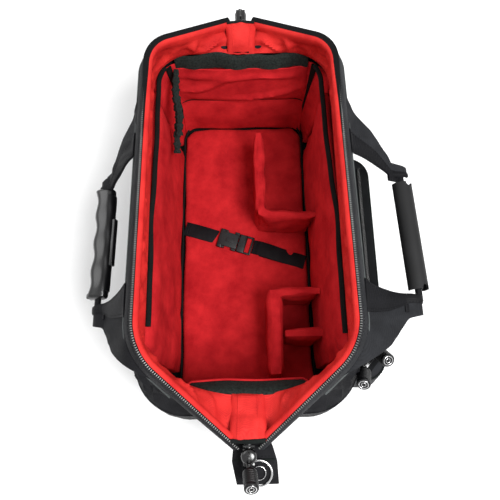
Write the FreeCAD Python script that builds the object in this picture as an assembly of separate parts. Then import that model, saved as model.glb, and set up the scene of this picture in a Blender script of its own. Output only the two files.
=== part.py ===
import FreeCAD, Part
import math
import os
from FreeCAD import Placement, Rotation, Vector

# A camera bag of the doctor's-bag kind: a padded tub whose mouth is two hinged half frames with a zip between them.
# Millimetres. +X is the side with the outer pocket, +Y the far end, +Z up. The origin is the middle of the base.
# Shapes that come in pairs are drawn for the +X side and mirrored.

# Tub: height, half width, half length and corner radius of its outside
TUB_SECTIONS = [(0, 128, 254, 50), (14, 138, 264, 56), (110, 150, 275, 68), (198, 144, 272, 66)]
TUB_TOP = 198
SKIN = 2.0                      # outer fabric
GAP = 0.3                       # between layers that are sewn or laid together
CAVITY_LOW = (15, 108, 246, 26)  # floor: height, half width, half length, corner radius
CAVITY_HIGH = (196, 130, 264, 50)
WALL_TOP = 196
BOARD_THICK = 2.4
SIDE_PANEL_HALF = 205           # the padded side walls end here, and the end walls take the corners

# Mouth: each half frame turns on an axis along Y at HINGE_Z
HINGE_Z = 215
OPEN_ANGLE = 26.6               # a half frame's plane above level when the mouth is open
# Teeth line of one half frame, from the near end to the far end: distance from the axis, and Y
RIM_POINTS = [(4, -319), (151, -200), (145, 228), (4, 321)]
RIM_RADII = [78, 62]
TAPE_WIDE = 16
BAND_WIDE = 31                  # teeth to piping
BAND_TAPER = (225, 14)          # beyond this Y the band narrows, to this width at the rim's ends
PIPING_END = 232
RIM_END = 311.4                 # teeth and tape stop here, where the slider starts
BAR_SIDE = 5.0                  # square frame bar
BAR_OFFSET = -1.6               # its outer face, from the teeth line
BAR_LOW = -10.0                 # its low face, from the plane of the teeth
EYE_RADIUS = 6.0
EYE_THICK = 4.2
PIN_RADIUS = 3.0
PIN_CLEARANCE = 0.06
EYE_Y = {"right": 308.2, "left": 303.6}   # outer face of each side's leg

# Handles: each hangs from a fabric hinge line just under the piping
PIVOT_X, PIVOT_Z = 152, 250
HANDLE_REACH = 80               # pivot to the middle of the grip
HANDLE_DROP = {"left": 53.4, "right": 26.0}  # degrees below level at rest
GRIP_SKEW = 3.3                 # degrees, the near end of each grip further out
GRIP_ENDS = {"left": (-117, 45), "right": (-120, 31)}
WING_THICK = 2.4
NEAR_WING = [(2, -214), (2, -113), (64, -128), (64, -154)]   # distance from the pivot, and Y
FAR_WING = [(2, 66), (2, 157), (60, 60), (60, 38)]
CORE_RADIUS = 5.0
SLEEVE_RADIUS, SLEEVE_WALL = 14.0, 2.6
GRIP_WIDE, GRIP_THICK = 29.0, 20.0

# Outer pocket on the +X side: height, outer face, near end, far end, corner radius
POCKET_SECTIONS = [(26, 172, -218, 76, 22), (110, 187, -236, 92, 26), (186, 182, -232, 88, 28)]
POCKET_ZIP_X = 168
POCKET_ZIP_Y = (-196, 70)
POCKET_ZIP_TURN = 140           # degrees from +Y that the zip's short near end turns to
POCKET_ZIP_SHORT = 30

# Things inside
DIVIDER_TOP = 100
PULL_RADIUS, PULL_LONG = 8.8, 27
WEBBING, WEBBING_THICK = 25.0, 1.6
STRAP_ENDS = ((-104, 46), (100, -20))   # where the holding strap meets the two walls, on the floor

parts = {}


def box(x0, x1, y0, y1, z0, z1):
    return Part.makeBox(x1 - x0, y1 - y0, z1 - z0, Vector(x0, y0, z0))


def rod(radius, start, end):
    along = Vector(*end) - Vector(*start)
    return Part.makeCylinder(radius, along.Length, Vector(*start), along)


def mirrored(shape):
    return shape.mirror(Vector(0, 0, 0), Vector(1, 0, 0))


def sided(shape, side):
    return shape if side == "right" else mirrored(shape)


def between(low, high, z):
    """One section's sizes at height z, on the straight line through two sections."""
    share = (z - low[0]) / (high[0] - low[0])
    return [a + share * (b - a) for a, b in zip(low[1:], high[1:])]


def section(sections, z):
    for low, high in zip(sections, sections[1:]):
        if z <= high[0]:
            break
    return between(low, high, z)


def rounded_rectangle(x0, x1, y0, y1, r, z):
    """A closed wire in the plane of height z, with four round corners."""
    edges = []
    corners = [(x1 - r, y1 - r, 0), (x0 + r, y1 - r, 90), (x0 + r, y0 + r, 180), (x1 - r, y0 + r, 270)]
    for x, y, turn in corners:
        edges.append(Part.makeCircle(r, Vector(x, y, z), Vector(0, 0, 1), turn, turn + 90))
    closed = []
    for arc, following in zip(edges, edges[1:] + edges[:1]):
        closed += [arc, Part.makeLine(arc.lastVertex().Point, following.firstVertex().Point)]
    return Part.Wire(closed)


def tub(inset, z0, z1):
    """The tub's solid between two heights, drawn in by inset."""
    heights = [z0] + [s[0] for s in TUB_SECTIONS if z0 < s[0] < z1] + [z1]
    wires = []
    for z in heights:
        half_x, half_y, r = section(TUB_SECTIONS, z)
        wires.append(rounded_rectangle(inset - half_x, half_x - inset, inset - half_y, half_y - inset, r - inset, z))
    return Part.makeLoft(wires, True, True)


def cavity(inset, z0, z1):
    """The solid that fills the inside of the padded walls."""
    wires = []
    for z in (z0, z1):
        half_x, half_y, r = between(CAVITY_LOW, CAVITY_HIGH, z)
        wires.append(rounded_rectangle(inset - half_x, half_x - inset, inset - half_y, half_y - inset, r - inset, z))
    return Part.makeLoft(wires, True, True)


def panels(ring, name):
    """A ring of wall cut into its two sides and two ends."""
    far = 400
    parts[f"{name}_left"] = ring.common(box(-far, 0, -SIDE_PANEL_HALF, SIDE_PANEL_HALF, -far, far))
    parts[f"{name}_right"] = ring.common(box(0, far, -SIDE_PANEL_HALF, SIDE_PANEL_HALF, -far, far))
    parts[f"{name}_far_end"] = ring.common(box(-far, far, SIDE_PANEL_HALF + GAP, far, -far, far))
    parts[f"{name}_near_end"] = ring.common(box(-far, far, -far, -SIDE_PANEL_HALF - GAP, -far, far))


def make_tub():
    skin = tub(0, 0, TUB_TOP)
    parts["shell_bottom"] = skin.common(box(-200, 200, -300, 300, 0, SKIN))
    ring = skin.cut(tub(SKIN, -1, TUB_TOP + 1)).common(box(-200, 200, -300, 300, SKIN + GAP, TUB_TOP))
    panels(ring, "shell")
    board_low = SKIN + GAP
    parts["base_board"] = tub(SKIN + GAP, board_low, board_low + BOARD_THICK)
    wall_low = board_low + BOARD_THICK + GAP
    ring = tub(SKIN + GAP, wall_low, WALL_TOP).cut(cavity(0, wall_low - 1, WALL_TOP + 1))
    panels(ring, "padding")
    parts["floor_pad"] = cavity(GAP, wall_low, CAVITY_LOW[0])


def make_hems():
    """Black binding along the top edge of each padded side wall."""
    top_x = CAVITY_HIGH[1]
    hem = box(top_x + 0.5, top_x + 8, -150, 226, WALL_TOP + GAP, WALL_TOP + 5)
    parts["hems"] = Part.makeCompound([hem, mirrored(hem)])


def end_pocket(side):
    """A flat pocket on one end wall, open at the top: its front panel, bottom and two sides in one piece."""
    low, high, deep, cloth, half = 30, 176, 9, 3, 76
    outline = []
    for z in (low, high):
        half_y = between(CAVITY_LOW, CAVITY_HIGH, z)[1] - GAP
        outline.append((half_y, z))
    (y_low, z_low), (y_high, z_high) = outline
    block = extruded_profile([(y_low - deep - cloth, z_low), (y_low, z_low), (y_high, z_high),
                              (y_high - deep - cloth, z_high)], half + cloth)
    hollow = extruded_profile([(y_low - deep, z_low + cloth), (y_low + 40, z_low + cloth),
                               (y_high + 40, z_high + 1), (y_high - deep, z_high + 1)], half)
    pocket = block.cut(hollow)
    return pocket if side == "far" else pocket.mirror(Vector(0, 0, 0), Vector(0, 1, 0))


def extruded_profile(points, half):
    """A (y, z) outline drawn out to half each way along X."""
    corners = [Vector(-half, y, z) for y, z in points]
    face = Part.Face(Part.makePolygon(corners + corners[:1]))
    return face.extrude(Vector(2 * half, 0, 0))


def make_end_pockets():
    elastic = extruded_profile([(249.6, 176.4), (252.6, 176.4), (254.2, 193), (251.2, 193)], 79)
    for side in ("far", "near"):
        parts[f"{side}_pocket"] = end_pocket(side)
    parts["pocket_elastics"] = both_ends(elastic)


def offset_points(points, d):
    """The polyline moved outwards, away from the axis, by d."""
    lines = []
    for (x0, y0), (x1, y1) in zip(points, points[1:]):
        long = math.hypot(x1 - x0, y1 - y0)
        out = ((y1 - y0) / long, (x0 - x1) / long)
        lines.append(((x0 + d * out[0], y0 + d * out[1]), (x1 + d * out[0], y1 + d * out[1])))
    moved = [lines[0][0]]
    for (a, b), (c, e) in zip(lines, lines[1:]):
        ux, uy, vx, vy = b[0] - a[0], b[1] - a[1], e[0] - c[0], e[1] - c[1]
        share = ((c[0] - a[0]) * vy - (c[1] - a[1]) * vx) / (ux * vy - uy * vx)
        moved.append((a[0] + share * ux, a[1] + share * uy))
    return moved + [lines[-1][1]]


def rounded_path(points, radii):
    """The edges of a polyline whose inner corners are rounded, in the plane z = 0."""
    edges = []
    at = Vector(*points[0], 0)
    for (before, corner, after), r in zip(zip(points, points[1:], points[2:]), radii):
        corner = Vector(*corner, 0)
        back = (Vector(*before, 0) - corner).normalize()
        on = (Vector(*after, 0) - corner).normalize()
        half_turn = (math.pi - back.getAngle(on)) / 2
        start, end = corner + back * r * math.tan(half_turn), corner + on * r * math.tan(half_turn)
        middle = corner + (back + on).normalize() * (r / math.cos(half_turn) - r)
        edges += [Part.makeLine(at, start), Part.Arc(start, middle, end).toShape()]
        at = end
    return edges + [Part.makeLine(at, Vector(*points[-1], 0))]


def rim_strip(inner, outer, low, high, points=RIM_POINTS, radii=RIM_RADII):
    """A strip along the rim, between two offsets from the teeth line and two heights above its plane, at rest."""
    sides = []
    for d in (inner, outer):
        sides.append(rounded_path(offset_points(points, d), [r + d for r in radii]))
    ends = []
    for k in (0, -1):
        a, b = (edges[k].firstVertex() if k == 0 else edges[k].lastVertex() for edges in sides)
        ends.append(Part.makeLine(a.Point, b.Point))
    outline = Part.Wire(Part.__sortEdges__(sides[0] + sides[1] + ends))
    strip = Part.Face(outline).extrude(Vector(0, 0, high - low))
    strip.translate(Vector(0, 0, low))
    return strip


def opened(shape):
    """From the half frame's own plane to its place on the +X side, mouth open."""
    shape = shape.copy()
    shape.rotate(Vector(0, 0, 0), Vector(0, 1, 0), -OPEN_ANGLE)
    shape.translate(Vector(0, 0, HINGE_Z))
    return shape


def frame_bar(eye_y):
    """The half frame's steel bar, with an eye at each end that turns on a hinge pin."""
    rim = offset_points(RIM_POINTS, BAR_OFFSET)
    bends = []
    for (tip_x, tip_y), (knee_x, knee_y) in ((rim[0], rim[1]), (rim[3], rim[2])):
        y = math.copysign(eye_y, tip_y)
        bends.append((tip_x + (knee_x - tip_x) * (y - tip_y) / (knee_y - tip_y), y))
    path = [(3, -eye_y), bends[0], rim[1], rim[2], bends[1], (3, eye_y)]
    radii = [14] + RIM_RADII + [14]
    bar = rim_strip(-BAR_SIDE, 0, BAR_LOW, BAR_LOW + BAR_SIDE, path, radii)
    bar = bar.cut(box(-20, 4, -400, 400, -60, 60))
    for sign in (-1, 1):
        middle = sign * (eye_y - BAR_SIDE / 2)
        y0, y1 = middle - EYE_THICK / 2, middle + EYE_THICK / 2
        eye = rod(EYE_RADIUS, (0, y0, 0), (0, y1, 0)).fuse(box(0, 9, y0, y1, BAR_LOW, -1))
        bar = bar.fuse(eye)
        bar = bar.cut(rod(PIN_RADIUS + PIN_CLEARANCE, (0, y0 - 9, 0), (0, y1 + 9, 0)))
    return bar.removeSplitter()


def make_mouth():
    piping_cut = box(-50, 400, -PIPING_END, PIPING_END, -60, 60)
    start, tip_wide = BAND_TAPER
    taper = extruded_profile([(start, -60), (start, -BAND_WIDE), (320, -tip_wide), (320, -60)], 200)
    zip_cut = box(-50, 400, -RIM_END, RIM_END, -60, 60)
    shapes = {
        "zip_teeth": rim_strip(0, 2.6, -4.4, -0.4).common(zip_cut),
        "zip_tape": rim_strip(-1.3, -GAP / 2, -TAPE_WIDE, -1.0).common(zip_cut),
        "top_band": rim_strip(0, 2.0, 1.5 - BAND_WIDE, -5.0).common(zip_cut).cut(both_ends(taper)),
        "piping": rim_strip(-1.2, 2.6, -BAND_WIDE - 2.4, 1.2 - BAND_WIDE).common(piping_cut),
    }
    for side in ("left", "right"):
        for name, shape in shapes.items():
            parts[f"{name}_{side}"] = sided(opened(shape), side)
        parts[f"frame_{side}"] = sided(opened(frame_bar(EYE_Y[side])), side)


def bracket():
    """A folded strip at the far end: a tongue in the wall, a shelf, and two ears that hold the hinge pin."""
    half, thick = 12.0, 2.0
    inner_y, outer_y = 296.4, 308.6
    shelf_z = HINGE_Z - EYE_RADIUS - 8
    strip = box(-half, half, 266.5, outer_y + 2, shelf_z, shelf_z + thick)
    strip = strip.fuse(box(-half, half, 266.5, 268.5, 150, shelf_z + thick))
    for ear_y in (inner_y, outer_y):
        strip = strip.fuse(box(-7, 7, ear_y, ear_y + thick, shelf_z, HINGE_Z + 7))
    return strip.cut(rod(PIN_RADIUS + 0.02, (0, 270, HINGE_Z), (0, 330, HINGE_Z))).removeSplitter()


def hinge_pin():
    y0, y1, head = 295.2, 311.7, 1.1
    pin = rod(PIN_RADIUS, (0, y0, HINGE_Z), (0, y1, HINGE_Z))
    pin = pin.fuse(rod(4.8, (0, y0, HINGE_Z), (0, y0 + head, HINGE_Z)))
    return pin.fuse(rod(4.8, (0, y1 - head, HINGE_Z), (0, y1, HINGE_Z))).removeSplitter()


def both_ends(shape):
    return Part.makeCompound([shape, shape.mirror(Vector(0, 0, 0), Vector(0, 1, 0))])


def make_hinges():
    parts["end_brackets"] = both_ends(bracket())
    parts["hinge_pins"] = both_ends(hinge_pin())
    rivets = [rod(2.5, (x, 263, 168), (x, 268.4, 168)) for x in (-8, 8)]
    slots = both_ends(Part.makeCompound(rivets))
    parts["bracket_rivets"] = slots
    for end in ("far_end", "near_end"):
        parts[f"padding_{end}"] = parts[f"padding_{end}"].cut(both_ends(box(-12.3, 12.3, 266.2, 269, 149.7, 200)))
        parts[f"padding_{end}"] = parts[f"padding_{end}"].cut(slots)
    parts["end_brackets"] = parts["end_brackets"].cut(slots)


def rim_place(s, y, n):
    """A point of the half frame's plane, at rest on the +X side."""
    a = math.radians(OPEN_ANGLE)
    return Vector(s * math.cos(a) - n * math.sin(a), y, HINGE_Z + s * math.sin(a) + n * math.cos(a))


def sampled(points, radii, counts=(5, 5, 5, 5, 5)):
    """Points along a rounded line, as many on each straight or arc as the counts say."""
    edges = rounded_path(points, radii)
    flat = []
    for edge, count in zip(edges, counts):
        flat += edge.discretize(Number=count + 1)[:-1]
    return flat + [edges[-1].lastVertex().Point]


def half_loop(half_x, half_y, r, z, start_x):
    """Points of a rounded rectangle's +X half, from the near end's middle to the far end's."""
    corners = [(start_x, -half_y), (half_x, -half_y), (half_x, half_y), (start_x, half_y)]
    return [Vector(p.x, p.y, z) for p in sampled(corners, [r, r])]


def rim_loop(offset, n, start):
    """Points of the rim on the +X side that face those of half_loop."""
    near_tip, near_knee, far_knee, far_tip = offset_points(RIM_POINTS, offset)
    trimmed = []
    for tip, knee in ((near_tip, near_knee), (far_tip, far_knee)):
        share = (start - tip[0]) / (knee[0] - tip[0])
        trimmed.append((start, tip[1] + share * (knee[1] - tip[1])))
    path = [trimmed[0], near_knee, far_knee, trimmed[1]]
    return [rim_place(p.x, p.y, n) for p in sampled(path, [r + offset for r in RIM_RADII])]


def skin_between(low, high, low_inner, high_inner):
    """A thin solid of flat triangles between two outer and two inner lines of points."""
    last = len(low) - 1
    faces = []

    def quad(a, b, c, d):
        for corners in ((a, b, c), (a, c, d)):
            faces.append(Part.Face(Part.makePolygon(list(corners) + [corners[0]])))

    for k in range(last):
        quad(low[k], low[k + 1], high[k + 1], high[k])
        quad(low_inner[k], high_inner[k], high_inner[k + 1], low_inner[k + 1])
        quad(low[k], low_inner[k], low_inner[k + 1], low[k + 1])
        quad(high[k], high[k + 1], high_inner[k + 1], high_inner[k])
    quad(low[0], high[0], high_inner[0], low_inner[0])
    quad(low[last], low_inner[last], high_inner[last], high[last])
    return Part.Solid(Part.Shell(faces))


def make_soft_walls():
    """The cloth that folds as the mouth closes: red lining inside, black wall outside."""
    half_x, half_y, r = CAVITY_HIGH[1] + 4, CAVITY_HIGH[2] + 2, CAVITY_HIGH[3] + 13
    low_z = WALL_TOP + 6
    lining = skin_between(
        half_loop(half_x, half_y, r, low_z, 16),
        rim_loop(-9, -1.0, 20),
        half_loop(half_x - 2, half_y - 2, r - 2, low_z + 1, 16),
        rim_loop(-11.5, 0, 20),
    )
    half_x, half_y, r = section(TUB_SECTIONS, TUB_TOP)
    low_z = TUB_TOP + 1
    wall_top = -BAND_WIDE - 5.8
    wall = skin_between(
        half_loop(half_x - 1, half_y - 1, r + 2, low_z, 14),
        rim_loop(-2, wall_top, 16),
        half_loop(half_x - 3, half_y - 3, r, low_z + 2, 14),
        rim_loop(-4, wall_top + 2, 16),
    )
    for side in ("left", "right"):
        parts[f"lining_{side}"] = sided(lining, side)
        parts[f"upper_wall_{side}"] = sided(wall, side)


def make_end_trim():
    """The lining's middle panel over each frame hinge."""
    humped = [(264, 205), (279, 223), (292, 224.8), (303, 224.8), (303, 223), (292, 223), (280, 221.2), (266, 205)]
    parts["lining_end_panels"] = both_ends(extruded_profile(humped, 13))


def slider(end_y, sign):
    """A zip slider lying along Y: two plates, a bridge between them and a bail on top."""
    lower = box(-7, 7, end_y - 10, end_y + 10, -3.2, -1.8)
    upper = box(-7, 7, end_y - 10, end_y + 10, 2.0, 3.6)
    bridge = box(-1.6, 1.6, end_y + 4 * sign - 5, end_y + 4 * sign + 5, -2.5, 2.5)
    flanges = box(-7, -5.4, end_y - 9, end_y + 9, 0.6, 2.4).fuse(box(5.4, 7, end_y - 9, end_y + 9, 0.6, 2.4))
    bail = box(-1.3, 1.3, end_y - 7, end_y + 7, 3, 9).cut(box(-2, 2, end_y - 4.6, end_y + 4.6, 3.6, 7))
    return lower.fuse([upper, bridge, flanges, bail]).removeSplitter()


def barrel(length, radius):
    """A zip pull along -Z: a round rubber barrel on a flat link that hooks under a slider's bail."""
    body = rod(radius, (0, 0, -10), (0, 0, -10 - length))
    body = body.makeFillet(1.6, [e for e in body.Edges if e.isClosed()])
    link = box(-3, 3, -1.2, 1.2, -12, -1.5)
    neck = Part.makeCone(3.4, radius * 0.72, 5, Vector(0, 0, -6.5), Vector(0, 0, -1))
    return body.fuse([link, neck]).removeSplitter()


def placed(shape, position, axis=(0, 0, 1), angle=0):
    """A copy turned about an axis through the origin, then moved."""
    shape = shape.copy()
    shape.Placement = Placement(Vector(*position), Rotation(Vector(*axis), angle))
    return shape


def aimed(shape, position, direction):
    """A copy whose -Z points along a direction, moved into place."""
    shape = shape.copy()
    shape.Placement = Placement(Vector(*position), Rotation(Vector(0, 0, -1), Vector(*direction)))
    return shape


def make_main_zip_ends():
    zip_z = HINGE_Z + 1.5
    body = slider(322, 1)
    body.translate(Vector(0, 0, zip_z))
    parts["main_sliders"] = both_ends(body)
    pull = barrel(PULL_LONG, PULL_RADIUS)
    parts["main_pull_near"] = aimed(pull, (0, -329.4, zip_z + 5.5), (0.065, -0.71, 0.70))
    parts["main_pull_far"] = aimed(pull, (0, 334, zip_z + 2), (0, 0.07, -1))
    tab = extruded_profile([(-312, 205), (-312, 207), (-333, 204), (-354, 198), (-354, 196), (-333, 202)], 27)
    tab.translate(Vector(9, 0, 0))
    parts["zip_tab"] = tab
    ring = Part.makeCylinder(17, 1.4).cut(Part.makeCylinder(14, 1.4))
    parts["tab_ring"] = placed(ring, (12, -341, 203.4), (1, 0, 0), 16)
    droop = [(-312, 215.3), (-312, 216.3), (-334, 216.3), (-350, 208.5), (-350, 207.5), (-334, 215.3)]
    tails = []
    for x in (-4.5, 4.5):
        tail = extruded_profile(droop, 2.5)
        tail.translate(Vector(x, 0, 0))
        tails.append(tail)
    parts["zip_tails"] = Part.makeCompound(tails)


def pocket_block(grow, z0=None, z1=None):
    wires = []
    for z, outer, near, far, r in POCKET_SECTIONS:
        wires.append(rounded_rectangle(100, outer + grow, near - grow, far + grow, r + grow, z))
    return Part.makeLoft(wires, True, True)


def make_side_pocket():
    pocket = pocket_block(0).cut(tub(-GAP, -1, TUB_TOP + 12))
    pocket = pocket.common(box(120, 260, -400, 400, 0, 400)).cut(box(120, 149, -400, 400, TUB_TOP + 0.5, 400))
    parts["side_pocket"] = pocket
    z = POCKET_SECTIONS[-1][0]
    x = POCKET_ZIP_X
    y0, y1 = POCKET_ZIP_Y
    turned = (x, y0, 0)
    turn = math.radians(POCKET_ZIP_TURN)
    u = (-math.sin(turn), math.cos(turn))
    straight = [box(-12, 12, y0, y1 + 6, z + GAP, z + 1.3), box(-2.4, 2.4, y0, y1, z + 1.3, z + 3.1)]
    short = [box(-12, 12, 0, POCKET_ZIP_SHORT, z + GAP, z + 1.3), box(-2.4, 2.4, 0, 28, z + 1.3, z + 3.1)]
    zips = [placed(piece, (x, 0, 0)) for piece in straight]
    zips += [placed(piece, turned, (0, 0, 1), POCKET_ZIP_TURN) for piece in short]
    tape, teeth = zips[0].fuse(zips[2]).removeSplitter(), zips[1].fuse(zips[3]).removeSplitter()
    parts["pocket_zips"] = Part.makeCompound([tape, teeth]).cut(tub(-GAP, 100, TUB_TOP))
    runner, pull = pocket_slider(), barrel(PULL_LONG, PULL_RADIUS)
    parts["pocket_slider_top"] = placed(runner, (x, y0 + 10, z + 1.3))
    parts["pocket_pull_top"] = aimed(pull, (x, y0 + 2.4, z + 10), (0.22, -0.51, 0.83))
    parts["pocket_slider_end"] = placed(runner, (x + 17 * u[0], y0 + 17 * u[1], z + 1.3), (0, 0, 1), POCKET_ZIP_TURN)
    parts["pocket_pull_end"] = aimed(pull, (x + 24.6 * u[0], y0 + 24.6 * u[1], z + 10), (-0.22, -0.70, 0.68))


def pocket_slider():
    """A slider that rides on raised teeth: a channel with a bail on top."""
    body = box(-5, 5, -8, 8, 0.3, 5.2).cut(box(-3, 3, -9, 9, 0, 2.5))
    bail = box(-1.2, 1.2, -6, 6, 5, 10.5).cut(box(-2, 2, -3.8, 3.8, 5.6, 8.8))
    return body.fuse(bail).removeSplitter()


def handled(shape, side):
    """From a handle's own plane, drawn level from the pivot, to its place at rest."""
    shape = shape.copy()
    shape.rotate(Vector(0, 0, 0), Vector(0, 1, 0), HANDLE_DROP[side])
    shape.translate(Vector(PIVOT_X, 0, PIVOT_Z))
    return sided(shape, side)


def flat_plate(points, low, high):
    corners = [Vector(x, y, low) for x, y in points]
    face = Part.Face(Part.makePolygon(corners + corners[:1]))
    return face.extrude(Vector(0, 0, high - low))


def finger_grip(y0, y1):
    """The solid moulded grip: four finger hollows on its outer side, a raised key on its inner side."""
    half, long = GRIP_WIDE / 2, y1 - y0
    outer = []
    steps = 32
    for k in range(steps + 1):
        u = k / steps
        wave = 1.6 * math.cos(8 * math.pi * u)
        outer.append(Vector(half - 2.5 + wave + 3.5 * abs(2 * u - 1) ** 3, y0 + long * u, 0))
    curve = Part.BSplineCurve()
    curve.interpolate(outer)
    inner = Part.Arc(Vector(3 - half, y0, 0), Vector(1 - half, (y0 + y1) / 2, 0), Vector(3 - half, y1, 0)).toShape()
    ends = [Part.makeLine(outer[0], Vector(3 - half, y0, 0)), Part.makeLine(outer[-1], Vector(3 - half, y1, 0))]
    face = Part.Face(Part.Wire(Part.__sortEdges__([curve.toShape(), inner] + ends)))
    body = face.extrude(Vector(0, 0, GRIP_THICK))
    body.translate(Vector(0, 0, -GRIP_THICK / 2))
    body = body.makeFillet(4.5, body.Edges)
    key = box(-half - 0.5, -half + 4, (y0 + y1) / 2 - 36, (y0 + y1) / 2 + 36, -5, 5)
    return body.fuse(key).removeSplitter()


def sleeve_grip(y0, y1):
    """The half-round sleeve that wraps the other handle: notched ends and two fixing holes."""
    outer = rod(SLEEVE_RADIUS, (0, y0, 0), (0, y1, 0))
    sleeve = outer.cut(rod(SLEEVE_RADIUS - SLEEVE_WALL, (0, y0 - 1, 0), (0, y1 + 1, 0)))
    sleeve = sleeve.cut(box(-20, 20, y0 - 1, y1 + 1, -20, -4.0))
    for y in (y0, y1):
        sleeve = sleeve.cut(rod(6.5, (3, y, 0), (3, y, 20)))
    for y in (y0 + 12, y1 - 9):
        sleeve = sleeve.cut(rod(1.7, (9.5, y, 0), (9.5, y, 20)))
    return sleeve


def skewed(shape, middle_y):
    """A grip's pieces turned in the handle's plane, then set at the end of its reach."""
    shape = shape.copy()
    shape.rotate(Vector(0, middle_y, 0), Vector(0, 0, 1), GRIP_SKEW)
    shape.translate(Vector(HANDLE_REACH, 0, 0))
    return shape


def make_handles():
    for side in ("left", "right"):
        y0, y1 = GRIP_ENDS[side]
        half = WING_THICK / 2
        wings = [flat_plate(points, -half, half) for points in (NEAR_WING, FAR_WING)]
        bands = [
            flat_plate([(9, -115), (64, -128), (64, -153), (9, -140)], half + 0.2, half + 2.0),
            flat_plate([(9, 62), (60, 38), (60, 59), (9, 86)], half + 0.2, half + 2.0),
        ]
        parts[f"handle_wings_{side}"] = handled(Part.makeCompound(wings + bands), side)
        rod_core = rod(CORE_RADIUS, (0, y0 - 14, 0), (0, y1 + 14, 0))
        grip = finger_grip(y0, y1).cut(rod_core) if side == "left" else sleeve_grip(y0, y1)
        core, grip = (skewed(piece, (y0 + y1) / 2) for piece in (rod_core, grip))
        near_link = box(64.3, HANDLE_REACH + 4, y0 - 32, y0 - 10, -2, 2)
        far_link = box(60.3, HANDLE_REACH - 4, y1 + 2, y1 + 20, -2, 2)
        core = core.fuse([near_link, far_link]).removeSplitter()
        parts[f"handle_core_{side}"] = handled(core, side)
        parts[f"handle_grip_{side}"] = handled(grip, side)


def wall_x(z):
    return between(CAVITY_LOW, CAVITY_HIGH, z)[0]


def upright(x0, x1, y0, y1, to_wall=False):
    """A padded divider's leg on the floor; one that meets the side wall leans out with it."""
    low, high = CAVITY_LOW[0] + GAP, DIVIDER_TOP
    x1_low, x1_high = (wall_x(low) - 0.5, wall_x(high) - 0.5) if to_wall else (x1, x1)
    outline = [(x0, low), (x1_low, low), (x1_high, high), (x0, high)]
    corners = [Vector(x, y0, z) for x, z in outline]
    return Part.Face(Part.makePolygon(corners + corners[:1])).extrude(Vector(0, y1 - y0, 0))


def make_dividers():
    parts["divider_far"] = upright(20, 33, 33, 188).fuse(upright(30, 0, 33, 46, True)).removeSplitter()
    parts["divider_near"] = upright(33, 53, -217, -81).fuse(upright(48, 0, -96, -81, True)).removeSplitter()
    parts["divider_cross"] = upright(53.4, 0, -161, -146, True)


def make_holding_strap():
    """The 25 mm strap across the floor, with its side-release buckle nearer the left wall."""
    (x0, y0), (x1, y1) = STRAP_ENDS
    angle = math.degrees(math.atan2(y1 - y0, x1 - x0))
    long = math.hypot(x1 - x0, y1 - y0)
    z = CAVITY_LOW[0] + GAP
    half = WEBBING / 2

    def laid(shape):
        return placed(shape, (x0, y0, z), (0, 0, 1), angle)

    socket_x, plug_x = 62, 96
    socket = box(socket_x, socket_x + 34, -17, 17, 0.2, 10)
    socket = socket.cut(box(socket_x + 8, socket_x + 40, -12.5, 12.5, 2.4, 7.8))
    for s in (-1, 1):
        socket = socket.cut(box(socket_x + 14, socket_x + 25, min(12 * s, 18 * s), max(12 * s, 18 * s), 1.8, 8.4))
    plug = box(plug_x + 0.4, plug_x + 26, -16.5, 16.5, 0.4, 8.6)
    plug = plug.cut(box(plug_x + 15, plug_x + 22, -13, 13, 0, 9))
    prongs = [box(plug_x - 22, plug_x + 2, -1.6, 1.6, 3.2, 7.0)]
    for s in (-1, 1):
        prongs.append(box(plug_x - 22, plug_x + 2, min(8.2 * s, 11.6 * s), max(8.2 * s, 11.6 * s), 3.2, 7.0))
    plug = plug.fuse(prongs).removeSplitter()
    parts["buckle_socket"] = laid(socket)
    parts["buckle_plug"] = laid(plug)
    low, high = 0.2, 0.2 + WEBBING_THICK
    parts["strap_left"] = laid(box(1, socket_x - 0.3, -half, half, low, high))
    strap = box(plug_x + 26.4, long + 2, -half, half, low, high)
    tail = box(plug_x + 26.4, long - 34, -half, half, high + 0.4, high + 0.4 + WEBBING_THICK)
    parts["strap_right"] = laid(Part.makeCompound([strap, tail]))


def make_corner_strap():
    """The loose hook-and-loop strap that hangs in the far left corner."""
    lean = (wall_x(176) - wall_x(66)) / 110
    corners = []
    for y, z in ((231, 176), (219, 176), (160, 66), (172, 66)):
        corners.append(Vector(7 - wall_x(66) - lean * (z - 66), y, z))
    strip = Part.Face(Part.makePolygon(corners + corners[:1])).extrude(Vector(1.6, 0, 0))
    parts["corner_strap"] = strip


make_tub()
make_hems()
make_end_pockets()
make_mouth()
make_hinges()
make_soft_walls()
make_end_trim()
make_main_zip_ends()
make_side_pocket()
make_handles()
make_dividers()
make_holding_strap()
make_corner_strap()

os.makedirs("parts", exist_ok=True)
for name, shape in sorted(parts.items()):
    shape.exportStep(f"parts/{name}.step")
    print(f"{name:24} solids {len(shape.Solids)} volume {shape.Volume / 1000:9.2f} cm3 valid {shape.isValid()}")
print(len(parts), "nodes")
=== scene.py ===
import math
import bmesh
import bpy
import numpy as np
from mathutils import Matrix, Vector


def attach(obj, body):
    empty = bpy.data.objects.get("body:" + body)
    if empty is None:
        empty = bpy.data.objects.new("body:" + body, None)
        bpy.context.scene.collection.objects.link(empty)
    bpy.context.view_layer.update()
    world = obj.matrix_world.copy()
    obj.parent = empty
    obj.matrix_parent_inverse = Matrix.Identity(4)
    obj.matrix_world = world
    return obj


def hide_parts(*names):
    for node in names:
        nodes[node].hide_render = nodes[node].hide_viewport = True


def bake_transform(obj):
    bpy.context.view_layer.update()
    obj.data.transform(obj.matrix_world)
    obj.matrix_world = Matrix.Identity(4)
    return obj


# An open camera bag of the doctor's-bag kind. Sizes are millimetres, as in the CAD source, until a
# mesh is made. +X is the side with the outer pocket, +Y the far end. Shapes that come in pairs are
# drawn for the +X side and mirrored.

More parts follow.
